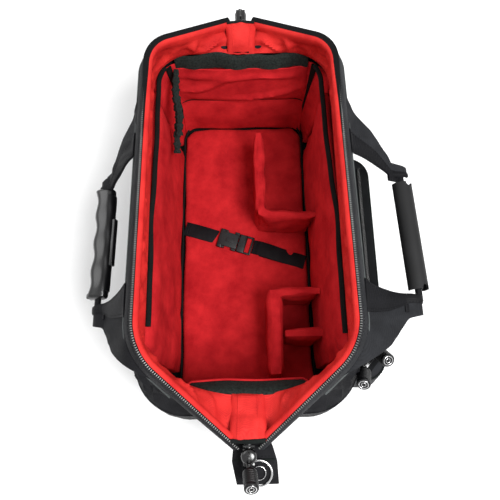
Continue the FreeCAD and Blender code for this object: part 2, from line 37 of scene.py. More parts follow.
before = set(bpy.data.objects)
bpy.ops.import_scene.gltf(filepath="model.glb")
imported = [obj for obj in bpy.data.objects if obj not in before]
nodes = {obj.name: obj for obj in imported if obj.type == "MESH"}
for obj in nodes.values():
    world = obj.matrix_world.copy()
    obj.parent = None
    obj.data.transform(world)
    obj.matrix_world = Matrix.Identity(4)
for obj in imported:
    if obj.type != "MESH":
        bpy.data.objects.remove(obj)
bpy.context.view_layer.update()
MM = 0.001

# Tub: height, half width, half length, corner radius
TUB = [(0, 128, 254, 50), (14, 138, 264, 56), (110, 150, 275, 68), (198, 144, 272, 66)]
CAVITY = [(15, 108, 246, 26), (196, 130, 264, 50)]
FLOOR_Z = 15.0
WALL_TOP = 196.0
SIDE_PANEL_HALF = 205.0

# Mouth: the half frame's plane, and its teeth line as distance from the axis and Y
HINGE_Z = 215.0
OPEN = math.radians(26.6)
RIM_POINTS = [(4, -319), (151, -200), (145, 228), (4, 321)]
RIM_RADII = [78, 62]
RIM_END = 311.4
BAND_TAPER = (225.0, 320.0, 0.45)   # the band narrows between these two Y, to this share
TOOTH_PITCH = 2.9

# Handles
PIVOT_X, PIVOT_Z = 152.0, 250.0
HANDLE_REACH = 80.0
HANDLE_DROP = {"left": math.radians(53.4), "right": math.radians(26.0)}
GRIP_SKEW = math.radians(3.3)
GRIP_ROLL = math.radians(38)   # the moulded grip's turn about its own core
GRIP_ENDS = {"left": (-117, 45), "right": (-120, 31)}
# Each wing's outer and inner edge: distances from the pivot, and the Y of either edge there
WINGS = {
    "near": [(-8, 64, 86), (-232, -158, -153), (-113, -127, -130)],
    "far": [(-8, 60, 83), (160, 62, 55), (66, 40, 41)],
}
GRIP_HALF = 14.5

# Outer pocket: height, outer face, near end, far end, corner radius
POCKET = [(26, 172, -218, 76, 22), (110, 187, -236, 92, 26), (186, 182, -232, 88, 28)]
POCKET_TOP = 186.0
POCKET_ZIP_X = 168.0
POCKET_ZIP_Y = (-196.0, 70.0)
POCKET_TURN = math.radians(140)
POCKET_SHORT = 30.0

STRAP_ENDS = ((-104, 46), (100, -20))
PULL_RADIUS = 8.8
SIDES = {"left": -1.0, "right": 1.0}
UP = np.array([0.0, 0.0, 1.0])


# ---------------------------------------------------------------- materials

def linear(r, g, b):
    """An sRGB colour of 0 to 255 as linear light."""
    def one(c):
        c /= 255
        return c / 12.92 if c <= 0.04045 else ((c + 0.055) / 1.055) ** 2.4
    return (one(r), one(g), one(b), 1.0)


def surface(name, light, dark, rough, grain, bump, weave=None, metal=0.0, coat=0.0, glint=0.3, mottle=30.0):
    """A material whose colour wanders between two tones, with a fine grain and, for cloth, threads.

    weave is the threads' pitch in metres. They lie across all three axes, so that they show whichever way a
    surface faces."""
    material = bpy.data.materials.new(name)
    material.use_nodes = True
    tree = material.node_tree
    shader = tree.nodes["Principled BSDF"]

    def add(kind, **inputs):
        node = tree.nodes.new(kind)
        for key, value in inputs.items():
            node.inputs[key].default_value = value
        return node

    def join(a, b, operation):
        node = add("ShaderNodeMath")
        node.operation = operation
        for socket, value in zip(node.inputs, (a, b)):
            if isinstance(value, float):
                socket.default_value = value
            else:
                tree.links.new(value, socket)
        return node.outputs[0]

    place = add("ShaderNodeTexCoord").outputs["Object"]
    patches = add("ShaderNodeTexNoise", Scale=mottle, Detail=4.0, Roughness=0.6)
    fine = add("ShaderNodeTexNoise", Scale=grain, Detail=3.0, Roughness=0.7)
    for node in (patches, fine):
        tree.links.new(place, node.inputs["Vector"])
    height = fine.outputs["Fac"]
    if weave:
        threads = None
        for axis in "XYZ":
            wave = add("ShaderNodeTexWave", Scale=math.pi / (10 * weave), Distortion=0.5, Detail=1.0)
            wave.bands_direction = axis
            tree.links.new(place, wave.inputs["Vector"])
            threads = wave.outputs["Fac"] if threads is None else join(threads, wave.outputs["Fac"], "ADD")
        height = join(join(threads, 0.33, "MULTIPLY"), join(height, 0.4, "MULTIPLY"), "ADD")
    blend = join(join(patches.outputs["Fac"], 0.65, "MULTIPLY"), join(height, 0.35, "MULTIPLY"), "ADD")
    ramp = add("ShaderNodeValToRGB")
    ramp.color_ramp.elements[0].position = 0.3
    ramp.color_ramp.elements[0].color = linear(*dark)
    ramp.color_ramp.elements[1].position = 0.68
    ramp.color_ramp.elements[1].color = linear(*light)
    tree.links.new(blend, ramp.inputs["Fac"])
    tree.links.new(ramp.outputs["Color"], shader.inputs["Base Color"])
    polish = add("ShaderNodeMapRange")
    limits = {"From Min": 0.3, "From Max": 0.7, "To Min": rough - 0.08, "To Max": rough + 0.08}
    for key, value in limits.items():
        polish.inputs[key].default_value = value
    tree.links.new(fine.outputs["Fac"], polish.inputs["Value"])
    tree.links.new(polish.outputs["Result"], shader.inputs["Roughness"])
    relief = add("ShaderNodeBump", Strength=bump, Distance=0.0006)
    tree.links.new(height, relief.inputs["Height"])
    tree.links.new(relief.outputs["Normal"], shader.inputs["Normal"])
    shader.inputs["Metallic"].default_value = metal
    shader.inputs["Specular IOR Level"].default_value = glint
    shader.inputs["Coat Weight"].default_value = coat
    shader.inputs["Coat Roughness"].default_value = 0.15
    return material


def make_materials():
    cloth = {"grain": 900.0, "bump": 0.6, "glint": 0.12}
    hard = {"grain": 1600.0, "bump": 0.12, "glint": 0.5}
    # name, the lighter and the darker tone, roughness, and whatever else surface() takes
    recipes = [
        ("black_cloth", (27, 27, 30), (9, 9, 11), 0.66, {"weave": 0.0011, **cloth}),
        ("grey_cloth", (38, 39, 42), (17, 17, 19), 0.68, {"weave": 0.0014, **cloth}),
        ("red_lining", (214, 50, 46), (160, 18, 24), 0.62, {"weave": 0.0009, **cloth}),
        ("red_padding", (206, 42, 46), (146, 14, 23), 0.9, {"grain": 1400.0, "bump": 0.8, "glint": 0.1}),
        ("binding", (18, 23, 22), (6, 9, 8), 0.72, {"weave": 0.0016, **cloth}),
        ("elastic", (44, 52, 49), (4, 6, 6), 0.8,
         {"grain": 620.0, "bump": 1.0, "mottle": 420.0, "glint": 0.1}),
        ("zip_tape", (14, 15, 17), (5, 6, 7), 0.7, {"weave": 0.001, **cloth}),
        ("piping", (84, 88, 88), (50, 52, 52), 0.6, {"weave": 0.0012, **cloth}),
        ("webbing", (19, 19, 22), (6, 6, 8), 0.55, {"weave": 0.0021, **cloth}),
        ("silver", (158, 158, 156), (96, 96, 95), 0.4, {"metal": 0.6, **hard}),
        ("steel", (44, 44, 47), (28, 28, 30), 0.4, {"metal": 0.6, **hard}),
        ("slider", (12, 12, 14), (5, 5, 6), 0.2, {"coat": 0.5, **hard}),
        ("grip_plastic", (15, 15, 17), (7, 7, 8), 0.28, {"coat": 0.35, **hard}),
        ("grip_rubber", (25, 25, 26), (14, 14, 15), 0.6, {"grain": 1100.0, "bump": 0.4}),
        ("pull_rubber", (15, 15, 17), (7, 7, 8), 0.4, {"grain": 1200.0, "bump": 0.3}),
        ("buckle_plastic", (18, 18, 20), (8, 8, 9), 0.32, {"coat": 0.15, **hard}),
        ("ring", (240, 240, 240), (200, 200, 202), 0.14, {"metal": 1.0, **hard}),
    ]
    return {name: surface(name, light, dark, rough, **more) for name, light, dark, rough, more in recipes}


materials = make_materials()


# ---------------------------------------------------------------- mesh building

def unit(v):
    return v / np.maximum(np.linalg.norm(v, axis=-1, keepdims=True), 1e-9)


def build(name, points, faces, sharp=50):
    """A mesh piece from points in millimetres."""
    mesh = bpy.data.meshes.new(name)
    mesh.from_pydata((np.asarray(points, float) * MM).tolist(), [], faces)
    shell = bmesh.new()
    shell.from_mesh(mesh)
    bmesh.ops.recalc_face_normals(shell, faces=shell.faces)
    shell.to_mesh(mesh)
    shell.free()
    mesh.shade_smooth()
    mesh.set_sharp_from_angle(angle=math.radians(sharp))
    piece = bpy.data.objects.new(name, mesh)
    bpy.context.scene.collection.objects.link(piece)
    return piece


def dress(piece, slot):
    """Gives a piece its material."""
    piece.data.materials.clear()
    piece.data.materials.append(materials[slot])
    return piece


def show(piece, slot, body, *stood_for):
    """Dresses a finished piece, sets it on its body and hides the CAD nodes that it stands for."""
    dress(piece, slot)
    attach(piece, body)
    if stood_for:
        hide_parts(*stood_for)
    return piece


def normals_of(grid, wrap=False):
    """The unit normal at each point of a grid, whose columns close on themselves where wrap is set."""
    if wrap:
        padded = np.concatenate([grid[:, -1:], grid, grid[:, :1]], 1)
        across = np.gradient(padded, axis=1)[:, 1:-1]
    else:
        across = np.gradient(grid, axis=1)
    return unit(np.cross(np.gradient(grid, axis=0), across))


def ring_faces(rings, count, closed=False):
    """Faces between successive rings of points, with a cap at either end unless they close on themselves."""
    faces = []
    for i in range(rings if closed else rings - 1):
        here, there = i * count, (i + 1) % rings * count
        for j in range(count):
            k = (j + 1) % count
            faces.append((here + j, here + k, there + k, there + j))
    if not closed:
        faces.append(tuple(range(count)))
        faces.append(tuple(reversed(range((rings - 1) * count, rings * count))))
    return faces


def slab_mesh(grid, thick, wrap=False):
    """Points and faces of a thick sheet with rounded edges. grid is its middle, rows by columns."""
    normal = normals_of(grid, wrap)
    rows, columns = grid.shape[:2]
    front, back = grid + normal * thick / 2, grid - normal * thick / 2
    points = [front.reshape(-1, 3), back.reshape(-1, 3)]
    size = rows * columns
    faces = []
    steps = range(columns if wrap else columns - 1)
    for i in range(rows - 1):
        for j in steps:
            k = (j + 1) % columns
            quad = (i * columns + j, i * columns + k, (i + 1) * columns + k, (i + 1) * columns + j)
            faces.append(quad)
            faces.append(tuple(size + q for q in reversed(quad)))
    if wrap:
        borders = [[(i, j) for j in range(columns)] for i in (0, rows - 1)]
    else:
        loop = [(0, j) for j in range(columns)] + [(i, columns - 1) for i in range(1, rows)]
        loop += [(rows - 1, j) for j in range(columns - 2, -1, -1)] + [(i, 0) for i in range(rows - 2, 0, -1)]
        borders = [loop]
    start = 2 * size
    for border in borders:
        edge = []
        for i, j in border:
            inside = (min(max(i, 1), rows - 2), j if wrap else min(max(j, 1), columns - 2))
            edge.append(grid[i, j] + 0.35 * thick * unit(grid[i, j] - grid[inside]))
        points.append(np.array(edge))
        count = len(border)
        for a in range(count):
            b = (a + 1) % count
            at, on = (border[x][0] * columns + border[x][1] for x in (a, b))
            faces.append((at, start + a, start + b, on))
            faces.append((size + on, start + b, start + a, size + at))
        start += count
    return np.concatenate(points), faces


def slab(name, grid, thick, wrap=False):
    return build(name, *slab_mesh(np.asarray(grid, float), thick, wrap))


def sweep_mesh(profile, centres, out, up, scale=None, closed=False):
    """Points and faces of a closed outline, given as (out, up) pairs, carried along a line."""
    profile = np.asarray(profile, float)
    count, sides = len(centres), len(profile)
    scale = np.ones(count) if scale is None else scale
    scale = np.asarray(scale, float).reshape(count, -1)[:, :2] * np.ones((1, 2))
    points = centres[:, None] + (profile[None, :, 0] * scale[:, :1])[..., None] * out[:, None]
    points = points + (profile[None, :, 1] * scale[:, 1:])[..., None] * up[:, None]
    return points.reshape(-1, 3), ring_faces(count, sides, closed)


def frames_along(line, hint=(0, 0, 1), closed=False):
    """Sideways and upward directions along a line, upward as near the hint as can be."""
    if closed:
        ring = np.concatenate([line[-1:], line, line[:1]])
        along = unit(np.gradient(ring, axis=0)[1:-1])
    else:
        along = unit(np.gradient(line, axis=0))
    sideways = unit(np.cross(along, np.broadcast_to(np.asarray(hint, float), line.shape)))
    return sideways, unit(np.cross(sideways, along))


def circle(radius, count=12, centre=(0, 0), flat=1.0):
    turns = np.linspace(0, 2 * math.pi, count, endpoint=False)
    return np.stack([centre[0] + radius * np.cos(turns), centre[1] + flat * radius * np.sin(turns)], 1)


def lozenge(wide, thick, count=5):
    """The outline of a flat strap: a rectangle with round edges."""
    turns = np.linspace(-math.pi / 2, math.pi / 2, count)
    right = np.stack([(wide - thick) / 2 + thick / 2 * np.cos(turns), thick / 2 * np.sin(turns)], 1)
    return np.concatenate([right, -right])


def tube_mesh(line, radius, count=12, hint=(0, 0, 1), closed=False):
    line = np.asarray(line, float)
    return sweep_mesh(circle(radius, count), line, *frames_along(line, hint, closed), closed=closed)


def strap_mesh(line, wide, thick, hint=(0, 0, 1)):
    line = np.asarray(line, float)
    return sweep_mesh(lozenge(wide, thick), line, *frames_along(line, hint))


def block_mesh(x0, x1, y0, y1, z0, z1, round_by=0.8):
    """A box whose edges are all rounded."""
    solid = bmesh.new()
    bmesh.ops.create_cube(solid, size=1)
    for vertex in solid.verts:
        x, y, z = vertex.co + Vector((0.5, 0.5, 0.5))
        vertex.co = (x0 + x * (x1 - x0), y0 + y * (y1 - y0), z0 + z * (z1 - z0))
    bmesh.ops.bevel(solid, geom=solid.edges[:], offset=round_by, segments=3, profile=0.5, affect="EDGES")
    solid.verts.index_update()
    made = np.array([v.co for v in solid.verts]), [tuple(v.index for v in f.verts) for f in solid.faces]
    solid.free()
    return made


def turned_mesh(profile, origin, direction, count=28):
    """A shape turned about an axis: (distance along it, radius) pairs from its start to its end."""
    direction = unit(np.asarray(direction, float))
    side = unit(np.cross(direction, (0.3, 0.9, 0.2)))
    other = np.cross(direction, side)
    turns = np.linspace(0, 2 * math.pi, count, endpoint=False)
    ring = np.cos(turns)[:, None] * side + np.sin(turns)[:, None] * other
    origin = np.asarray(origin, float)
    points = [origin + along * direction + radius * ring for along, radius in profile]
    return np.concatenate(points), ring_faces(len(profile), count)


def gather(name, solids, sharp=50):
    """One piece made of many small closed solids."""
    points, faces, base = [], [], 0
    for solid_points, solid_faces in solids:
        points.append(np.asarray(solid_points, float))
        faces += [tuple(base + v for v in face) for face in solid_faces]
        base += len(solid_points)
    return build(name, np.concatenate(points), faces, sharp)


def resample(line, step):
    """The line's points again, evenly spaced and about one step apart."""
    line = np.asarray(line, float)
    run = np.concatenate([[0], np.cumsum(np.linalg.norm(np.diff(line, axis=0), axis=1))])
    places = np.linspace(0, run[-1], max(2, int(round(run[-1] / step)) + 1))
    return np.stack([np.interp(places, run, line[:, k]) for k in range(line.shape[1])], 1)


def stitch_solids(line, hint=(0, 0, 1), long=2.7, gap=1.7, radius=0.42):
    """A row of thread stitches along a line."""
    line = resample(line, 0.9)
    run = np.concatenate([[0], np.cumsum(np.linalg.norm(np.diff(line, axis=0), axis=1))])
    solids = []
    for start in np.arange(gap, run[-1] - long, long + gap):
        at = [[np.interp(start + share * long, run, line[:, k]) for k in range(3)] for share in (0, 0.5, 1)]
        at = np.array(at)
        sideways, upward = frames_along(at, hint)
        points, faces = sweep_mesh(circle(radius, 6), at, sideways, upward)
        ends = [points[:6], points[12:]]
        points[:6] = ends[0].mean(0) + 0.5 * (ends[0] - ends[0].mean(0)) - upward[0] * radius * 0.6
        points[12:] = ends[1].mean(0) + 0.5 * (ends[1] - ends[1].mean(0)) - upward[2] * radius * 0.6
        solids.append((points, faces))
    return solids


def ripple(points, size, seed, stretch=(1, 1, 1)):
    """A smooth random height of about -1 to 1, in waves of about that size."""
    random = np.random.default_rng(seed)
    flat = points.reshape(-1, 3) * np.array(stretch)
    total = np.zeros(len(flat))
    for _ in range(7):
        way = unit(random.normal(size=3))
        wave = size * random.uniform(0.6, 1.7)
        total += np.sin(flat @ way * 2 * math.pi / wave + random.uniform(0, 2 * math.pi))
    return (total / 2.6).reshape(points.shape[:-1])


def creases(points, size, seed, stretch=(1, 1, 1)):
    """Soft hollows with narrow ridges between them, about 0 to 1."""
    return 1 - np.minimum(np.abs(ripple(points, size, seed, stretch)) * 1.6, 1)


def mirrored(points, side):
    return points * np.array([SIDES[side], 1, 1])


def section(sections, z):
    """The values of a table whose rows start with a height, at height z."""
    heights = [s[0] for s in sections]
    return [np.interp(z, heights, [s[k] for s in sections]) for k in range(1, len(sections[0]))]


def cavity_at(z):
    """The inner wall's half width, half length and corner radius at a height."""
    return section(CAVITY, z)


def plan_loop(x0, x1, y0, y1, r, z, arc=12, long=44, short=16):
    """A closed rounded rectangle at height z."""
    corners = [(x1 - r, y1 - r, 0, short), (x0 + r, y1 - r, 90, long),
               (x0 + r, y0 + r, 180, short), (x1 - r, y0 + r, 270, long)]
    points = []
    for k, (x, y, turn, steps) in enumerate(corners):
        turns = np.radians(np.linspace(turn, turn + 90, arc + 1))
        points += [(x + r * math.cos(t), y + r * math.sin(t)) for t in turns]
        next_x, next_y, next_turn, _ = corners[(k + 1) % 4]
        t = math.radians(next_turn)
        end = np.array([next_x + r * math.cos(t), next_y + r * math.sin(t)])
        start = np.array(points[-1])
        points += [tuple(start + (end - start) * s / steps) for s in range(1, steps)]
    return np.array([(x, y, z) for x, y in points])


# ---------------------------------------------------------------- the rim's line

def rounded_line(corners, radii, counts):
    """Points along a line whose inner corners are rounded, with that many steps on each straight and arc."""
    corners = [np.array(c, float) for c in corners]
    points = []
    at = corners[0]
    for k, r in enumerate(radii):
        before, corner, after = corners[k:k + 3]
        back, on = unit(before - corner), unit(after - corner)
        half_turn = (math.pi - math.acos(float(back @ on))) / 2
        start, end = corner + back * r * math.tan(half_turn), corner + on * r * math.tan(half_turn)
        centre = corner + unit(back + on) * r / math.cos(half_turn)
        points += [at + (start - at) * s / counts[2 * k] for s in range(counts[2 * k])]
        for s in range(counts[2 * k + 1]):
            share = s / counts[2 * k + 1]
            a, b = (math.sin(x * 2 * half_turn) / math.sin(2 * half_turn) for x in (1 - share, share))
            points.append(centre + a * (start - centre) + b * (end - centre))
        at = end
    points += [at + (corners[-1] - at) * s / counts[-1] for s in range(counts[-1] + 1)]
    return np.array(points)


def offset_corners(points, d):
    """The corners of the line moved outwards by d."""
    lines = []
    for (x0, y0), (x1, y1) in zip(points, points[1:]):
        long = math.hypot(x1 - x0, y1 - y0)
        move = np.array([(y1 - y0) / long, (x0 - x1) / long]) * d
        lines.append((np.array([x0, y0]) + move, np.array([x1, y1]) + move))
    moved = [lines[0][0]]
    for (a, b), (c, e) in zip(lines, lines[1:]):
        u, v = b - a, e - c
        share = ((c - a)[0] * v[1] - (c - a)[1] * v[0]) / (u[0] * v[1] - u[1] * v[0])
        moved.append(a + share * u)
    return moved + [lines[-1][1]]


def rim_place(line, n):
    """Points of the half frame's plane, raised by n from it, in the bag's own space on the +X side."""
    s, y = line[..., 0], line[..., 1]
    x = s * math.cos(OPEN) - n * math.sin(OPEN)
    z = HINGE_Z + s * math.sin(OPEN) + n * math.cos(OPEN)
    return np.stack([x, y, z], -1)


def rim_line(limit, step):
    """The teeth line between -limit and +limit in Y, evenly spaced."""
    dense = rounded_line(RIM_POINTS, RIM_RADII, (150, 120, 400, 120, 150))
    return resample(dense[np.abs(dense[:, 1]) <= limit], step)


def rim_frames(limit, step, side):
    """The teeth line in space, with its outward and upward directions."""
    line = rim_line(limit, step)
    along = unit(np.gradient(line, axis=0))
    outward = np.stack([along[:, 1] * math.cos(OPEN), -along[:, 0], along[:, 1] * math.sin(OPEN)], 1)
    upward = np.broadcast_to(np.array([-math.sin(OPEN), 0, math.cos(OPEN)]), outward.shape)
    return [mirrored(v, side) for v in (rim_place(line, 0), outward, upward)]


def rim_at(limit, step, side, d, n):
    """The teeth line moved outwards by d and up by n."""
    centres, outward, upward = rim_frames(limit, step, side)
    return centres + d * outward + n * upward


def rim_loop(offset, n, start, counts):
    """A line beside the rim, from near end to far end, that starts and ends at a distance from the axis."""
    near_tip, near_knee, far_knee, far_tip = offset_corners(RIM_POINTS, offset)
    trimmed = []
    for tip, knee in ((near_tip, near_knee), (far_tip, far_knee)):
        trimmed.append(tip + (start - tip[0]) / (knee[0] - tip[0]) * (knee - tip))
    corners = [trimmed[0], near_knee, far_knee, trimmed[1]]
    return rim_place(rounded_line(corners, [r + offset for r in RIM_RADII], counts), n)


def wall_loop(half_x, near_y, far_y, r, z, start, counts):
    """Half of a rounded rectangle, on the +X side, that faces rim_loop point for point."""
    line = rounded_line([(start, near_y), (half_x, near_y), (half_x, far_y), (start, far_y)], [r, r], counts)
    return np.concatenate([line, np.full((len(line), 1), float(z))], 1)


LOOP_COUNTS = (22, 18, 64, 18, 22)
LOOP_CUTS = (0, 31, 72, 113, 144)   # near end, near corner, middle of the side, far corner, far end


def follow(piece):
    """Bakes the placement of a strip between the bag and a half frame into its mesh."""
    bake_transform(piece)


def folding_wall(name, side, grid, thick, slot, node):
    """Cloth from the tub to a half frame, cut into four strips."""
    grid = mirrored(grid, side)
    for k, (a, b) in enumerate(zip(LOOP_CUTS, LOOP_CUTS[1:])):
        strip = slab(f"{name}_{side}_{k + 1}", grid[:, a:b + 1], thick)
        dress(strip, slot)
        follow(strip)
        if k == 0:
            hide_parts(node)


# ---------------------------------------------------------------- mouth

def make_lining():
    counts = LOOP_COUNTS
    low = wall_loop(134, -264, 267, 60, 199.5, 14, counts)
    near = np.clip((-low[:, 1] - 170) / 60, 0, 1)
    low[:, 1] += near * (15 + 16 * np.clip(low[:, 0] / 80, 0, 1.3) ** 2)
    under_bar = rim_loop(-9.2, -14, 19, counts)
    over_bar = [rim_loop(d, n, 19, counts) for d, n in ((-8.8, -5), (-7.4, -2.2), (-4.5, -1.2), (-1.7, -1.2))]
    rows = 14
    share = np.linspace(0, 1, rows)[:, None, None]
    grid = low[None] + (under_bar - low)[None] * share
    slack = np.sin(math.pi * share[..., 0])
    inward = normals_of(grid)
    inward = inward * np.sign(-(inward * grid * np.array([1, 1, 0])).sum(-1).mean())
    folds = creases(grid, 52, 11, (1.0, 0.8, 1.5)) + ripple(grid, 24, 5, (1, 0.6, 1)) * 0.3
    grid = grid + inward * (slack * (folds * 6.0 - 3.2))[..., None]
    grid = np.concatenate([grid, np.array(over_bar)])
    for side in SIDES:
        folding_wall("lining", side, grid, 1.1, "red_lining", f"lining_{side}")


def make_upper_walls():
    half_x, half_y, r = section(TUB, 198)
    low = wall_loop(half_x - 0.5, -half_y + 0.5, half_y - 0.5, r, 197, 12, LOOP_COUNTS)
    high = rim_loop(0.2, -30.5, 15, LOOP_COUNTS)
    start, end, least = BAND_TAPER
    narrowed = np.clip((np.abs(high[:, 1:2]) - start) / (end - start), 0, 1)
    high = high + (rim_loop(0.2, -30.5 * least, 15, LOOP_COUNTS) - high) * narrowed
    rows = 16
    share = np.linspace(0, 1, rows)[:, None, None]
    grid = low[None] + (high - low)[None] * share
    out = grid - np.array([0, 0, 1]) * grid[..., 2:]
    out = unit(out * np.array([1.0, 0.6, 0]))
    slack = np.sin(math.pi * share[..., 0]) ** 0.8
    pleats = creases(grid, 30, 21, (1.0, 1.0, 0.3))
    ends = np.clip((np.abs(grid[..., 1]) - 150) / 60, 0, 1)
    grid = grid + out * (slack * (-1.5 + pleats * (1.5 + 4.5 * ends)))[..., None]
    for side in SIDES:
        folding_wall("upper_wall", side, grid, 1.6, "black_cloth", f"upper_wall_{side}")


def tooth_solids(side):
    """One tooth after another along the rim, each a little waisted and with a chamfered head."""
    centres, outward, upward = rim_frames(RIM_END, TOOTH_PITCH, side)
    along = unit(np.gradient(centres, axis=0))
    outline = [(-0.6, -4.4), (0.6, -4.4), (0.45, -2.6), (0.8, -1.5),
               (0.5, -0.2), (-0.5, -0.2), (-0.8, -1.5), (-0.45, -2.6)]
    solids = []
    for centre, out, up, on in zip(centres, outward, upward, along):
        points = []
        for d, pinch in ((-0.1, 0.7), (0.3, 1.0), (1.6, 1.0), (2.0, 0.7)):
            points += [centre + d * out + a * pinch * on + n * up for a, n in outline]
        solids.append((np.array(points), ring_faces(4, len(outline))))
    return solids


def rim_sweep(name, side, profile, limit, taper=False):
    centres, outward, upward = rim_frames(limit, 4.0, side)
    scale = None
    if taper:
        start, end, least = BAND_TAPER
        narrowed = np.interp(np.abs(centres[:, 1]), [start, end], [1.0, least])
        scale = np.stack([np.ones(len(centres)), narrowed], 1)
    return build(name, *sweep_mesh(profile, centres, outward, upward, scale))


def zip_guard(side):
    """The strip of tape on either side of the teeth round the far end, widening from almost nothing."""
    centres, outward, upward = rim_frames(RIM_END, 3.0, side)
    start, full = 78, 190   # Y where it starts, and where it has its whole width
    far = centres[:, 1] > start
    profile = [(-4.4, -1.6), (-4.2, -0.9), (-1.5, -0.05), (2, -0.05), (4.6, -0.6),
               (5, -1.6), (4.4, -2), (0, -0.9), (-3.8, -1.9)]
    wide = np.interp(centres[far, 1], [start, full], [0.12, 1.0])
    scale = np.stack([wide, np.ones(len(wide))], 1)
    return build(f"zip_guard_{side}", *sweep_mesh(profile, centres[far], outward[far], upward[far], scale))


def make_rim(side):
    body = f"mouth_{side}"
    show(zip_guard(side), "zip_tape", body)
    teeth = gather(f"teeth_{side}", tooth_solids(side), 35)
    show(teeth, "silver", body, f"zip_teeth_{side}")
    tape = [(-1.4, -16), (-1.5, -10), (-1.5, -2.2), (-1.2, -0.9), (-0.3, -0.9), (-0.1, -2.2), (-0.1, -16)]
    show(rim_sweep(f"tape_{side}", side, tape, RIM_END), "zip_tape", body, f"zip_tape_{side}")
    band = [(0.1, -4.9), (0.3, -2.6), (1.5, -2.0), (2.4, -3.4), (2.3, -7), (2.0, -8.4), (2.9, -11),
            (3.3, -17), (3.1, -23), (2.1, -26.6), (2.4, -28.2), (1.8, -29.7), (0.6, -30), (0.1, -29), (0.1, -17)]
    slot = "black_cloth" if side == "left" else "grey_cloth"
    show(rim_sweep(f"band_{side}", side, band, RIM_END, taper=True), slot, body, f"top_band_{side}")
    cord = circle(2.1, 12, (0.9, -31.6))
    show(rim_sweep(f"piping_cord_{side}", side, cord, 250), "piping", body, f"piping_{side}")
    rows = []
    for d, n in ((2.3, -8.4), (2.3, -26.6)):
        rows += stitch_solids(rim_at(230, 3.0, side, d, n), (SIDES[side], 0, 0.3))
    show(gather(f"band_stitches_{side}", rows), "zip_tape", body)


def make_end_panels():
    """The lining's middle panel over each frame hinge, with its seams, black cloth backing and binding."""
    panels, bindings, seams, backs = [], [], [], []
    for end in (-1, 1):
        inner = 247 if end < 0 else 266
        profile = [(inner, 199), (inner + 3, 207), (272, 215), (279, 221.5),
                   (286, 224.2), (294, 225.6), (300, 225.8), (304, 225.2)]
        profile = resample(profile, 3.0)
        across = np.linspace(-1, 1, 25)
        half = np.interp(profile[:, 0], [inner, 304], [20, 23])
        edge = np.interp(profile[:, 0], [inner, 304], [198.5, 224])
        grid = np.zeros((len(profile), len(across), 3))
        grid[..., 0] = half[:, None] * across
        grid[..., 1] = end * profile[:, :1]
        tent = np.cos(across * math.pi / 2) ** 0.55
        grid[..., 2] = edge[:, None] + (profile[:, 1] - edge)[:, None] * tent + ripple(grid, 20, 31) * 0.9
        panels.append(slab_mesh(grid, 1.3))
        for column, beside in ((5, 1.8), (-6, -1.8)):
            line = grid[1:-1, column]
            panels.append(strap_mesh(line + 0.7 * UP, 1.8, 1.2))
            seams += stitch_solids(line + np.array([beside, 0, 0.8]))
        share = np.linspace(0, 1, 12)
        back = np.zeros((12, 31, 3))
        back[..., 0] = np.linspace(-1, 1, 31) * np.interp(share, [0, 1], [62 if end < 0 else 34, 18])[:, None]
        back[..., 1] = end * np.interp(share, [0, 1], [270.5, 303])[:, None]
        back[..., 2] = np.interp(share, [0, 0.3, 1], [194, 203, 219] if end < 0 else [192, 196, 212])[:, None]
        sides = np.clip(np.abs(back[..., 0]) - 18, 0, 60)
        back[..., 2] -= sides * 0.12 * share[:, None]
        back[..., 1] -= end * (back[..., 0] / 62) ** 2 * 1.5 * (1 - share)[:, None]
        backs.append(slab_mesh(back, 1.2))
        x = np.linspace(-21, 21, 15)
        edge = np.stack([x, end * (304.4 - np.abs(x) * 0.05), 226.2 - np.abs(x) * 0.04], 1)
        bindings.append(strap_mesh(edge, 5.4, 2.6, (0, 0.3 * end, 1)))
    show(gather("end_panels", panels), "red_lining", "bag", "lining_end_panels")
    show(gather("end_panel_backs", backs), "black_cloth", "bag")
    show(gather("end_panel_stitches", seams), "red_padding", "bag")
    show(gather("end_panel_bindings", bindings), "binding", "bag")


# ---------------------------------------------------------------- tub

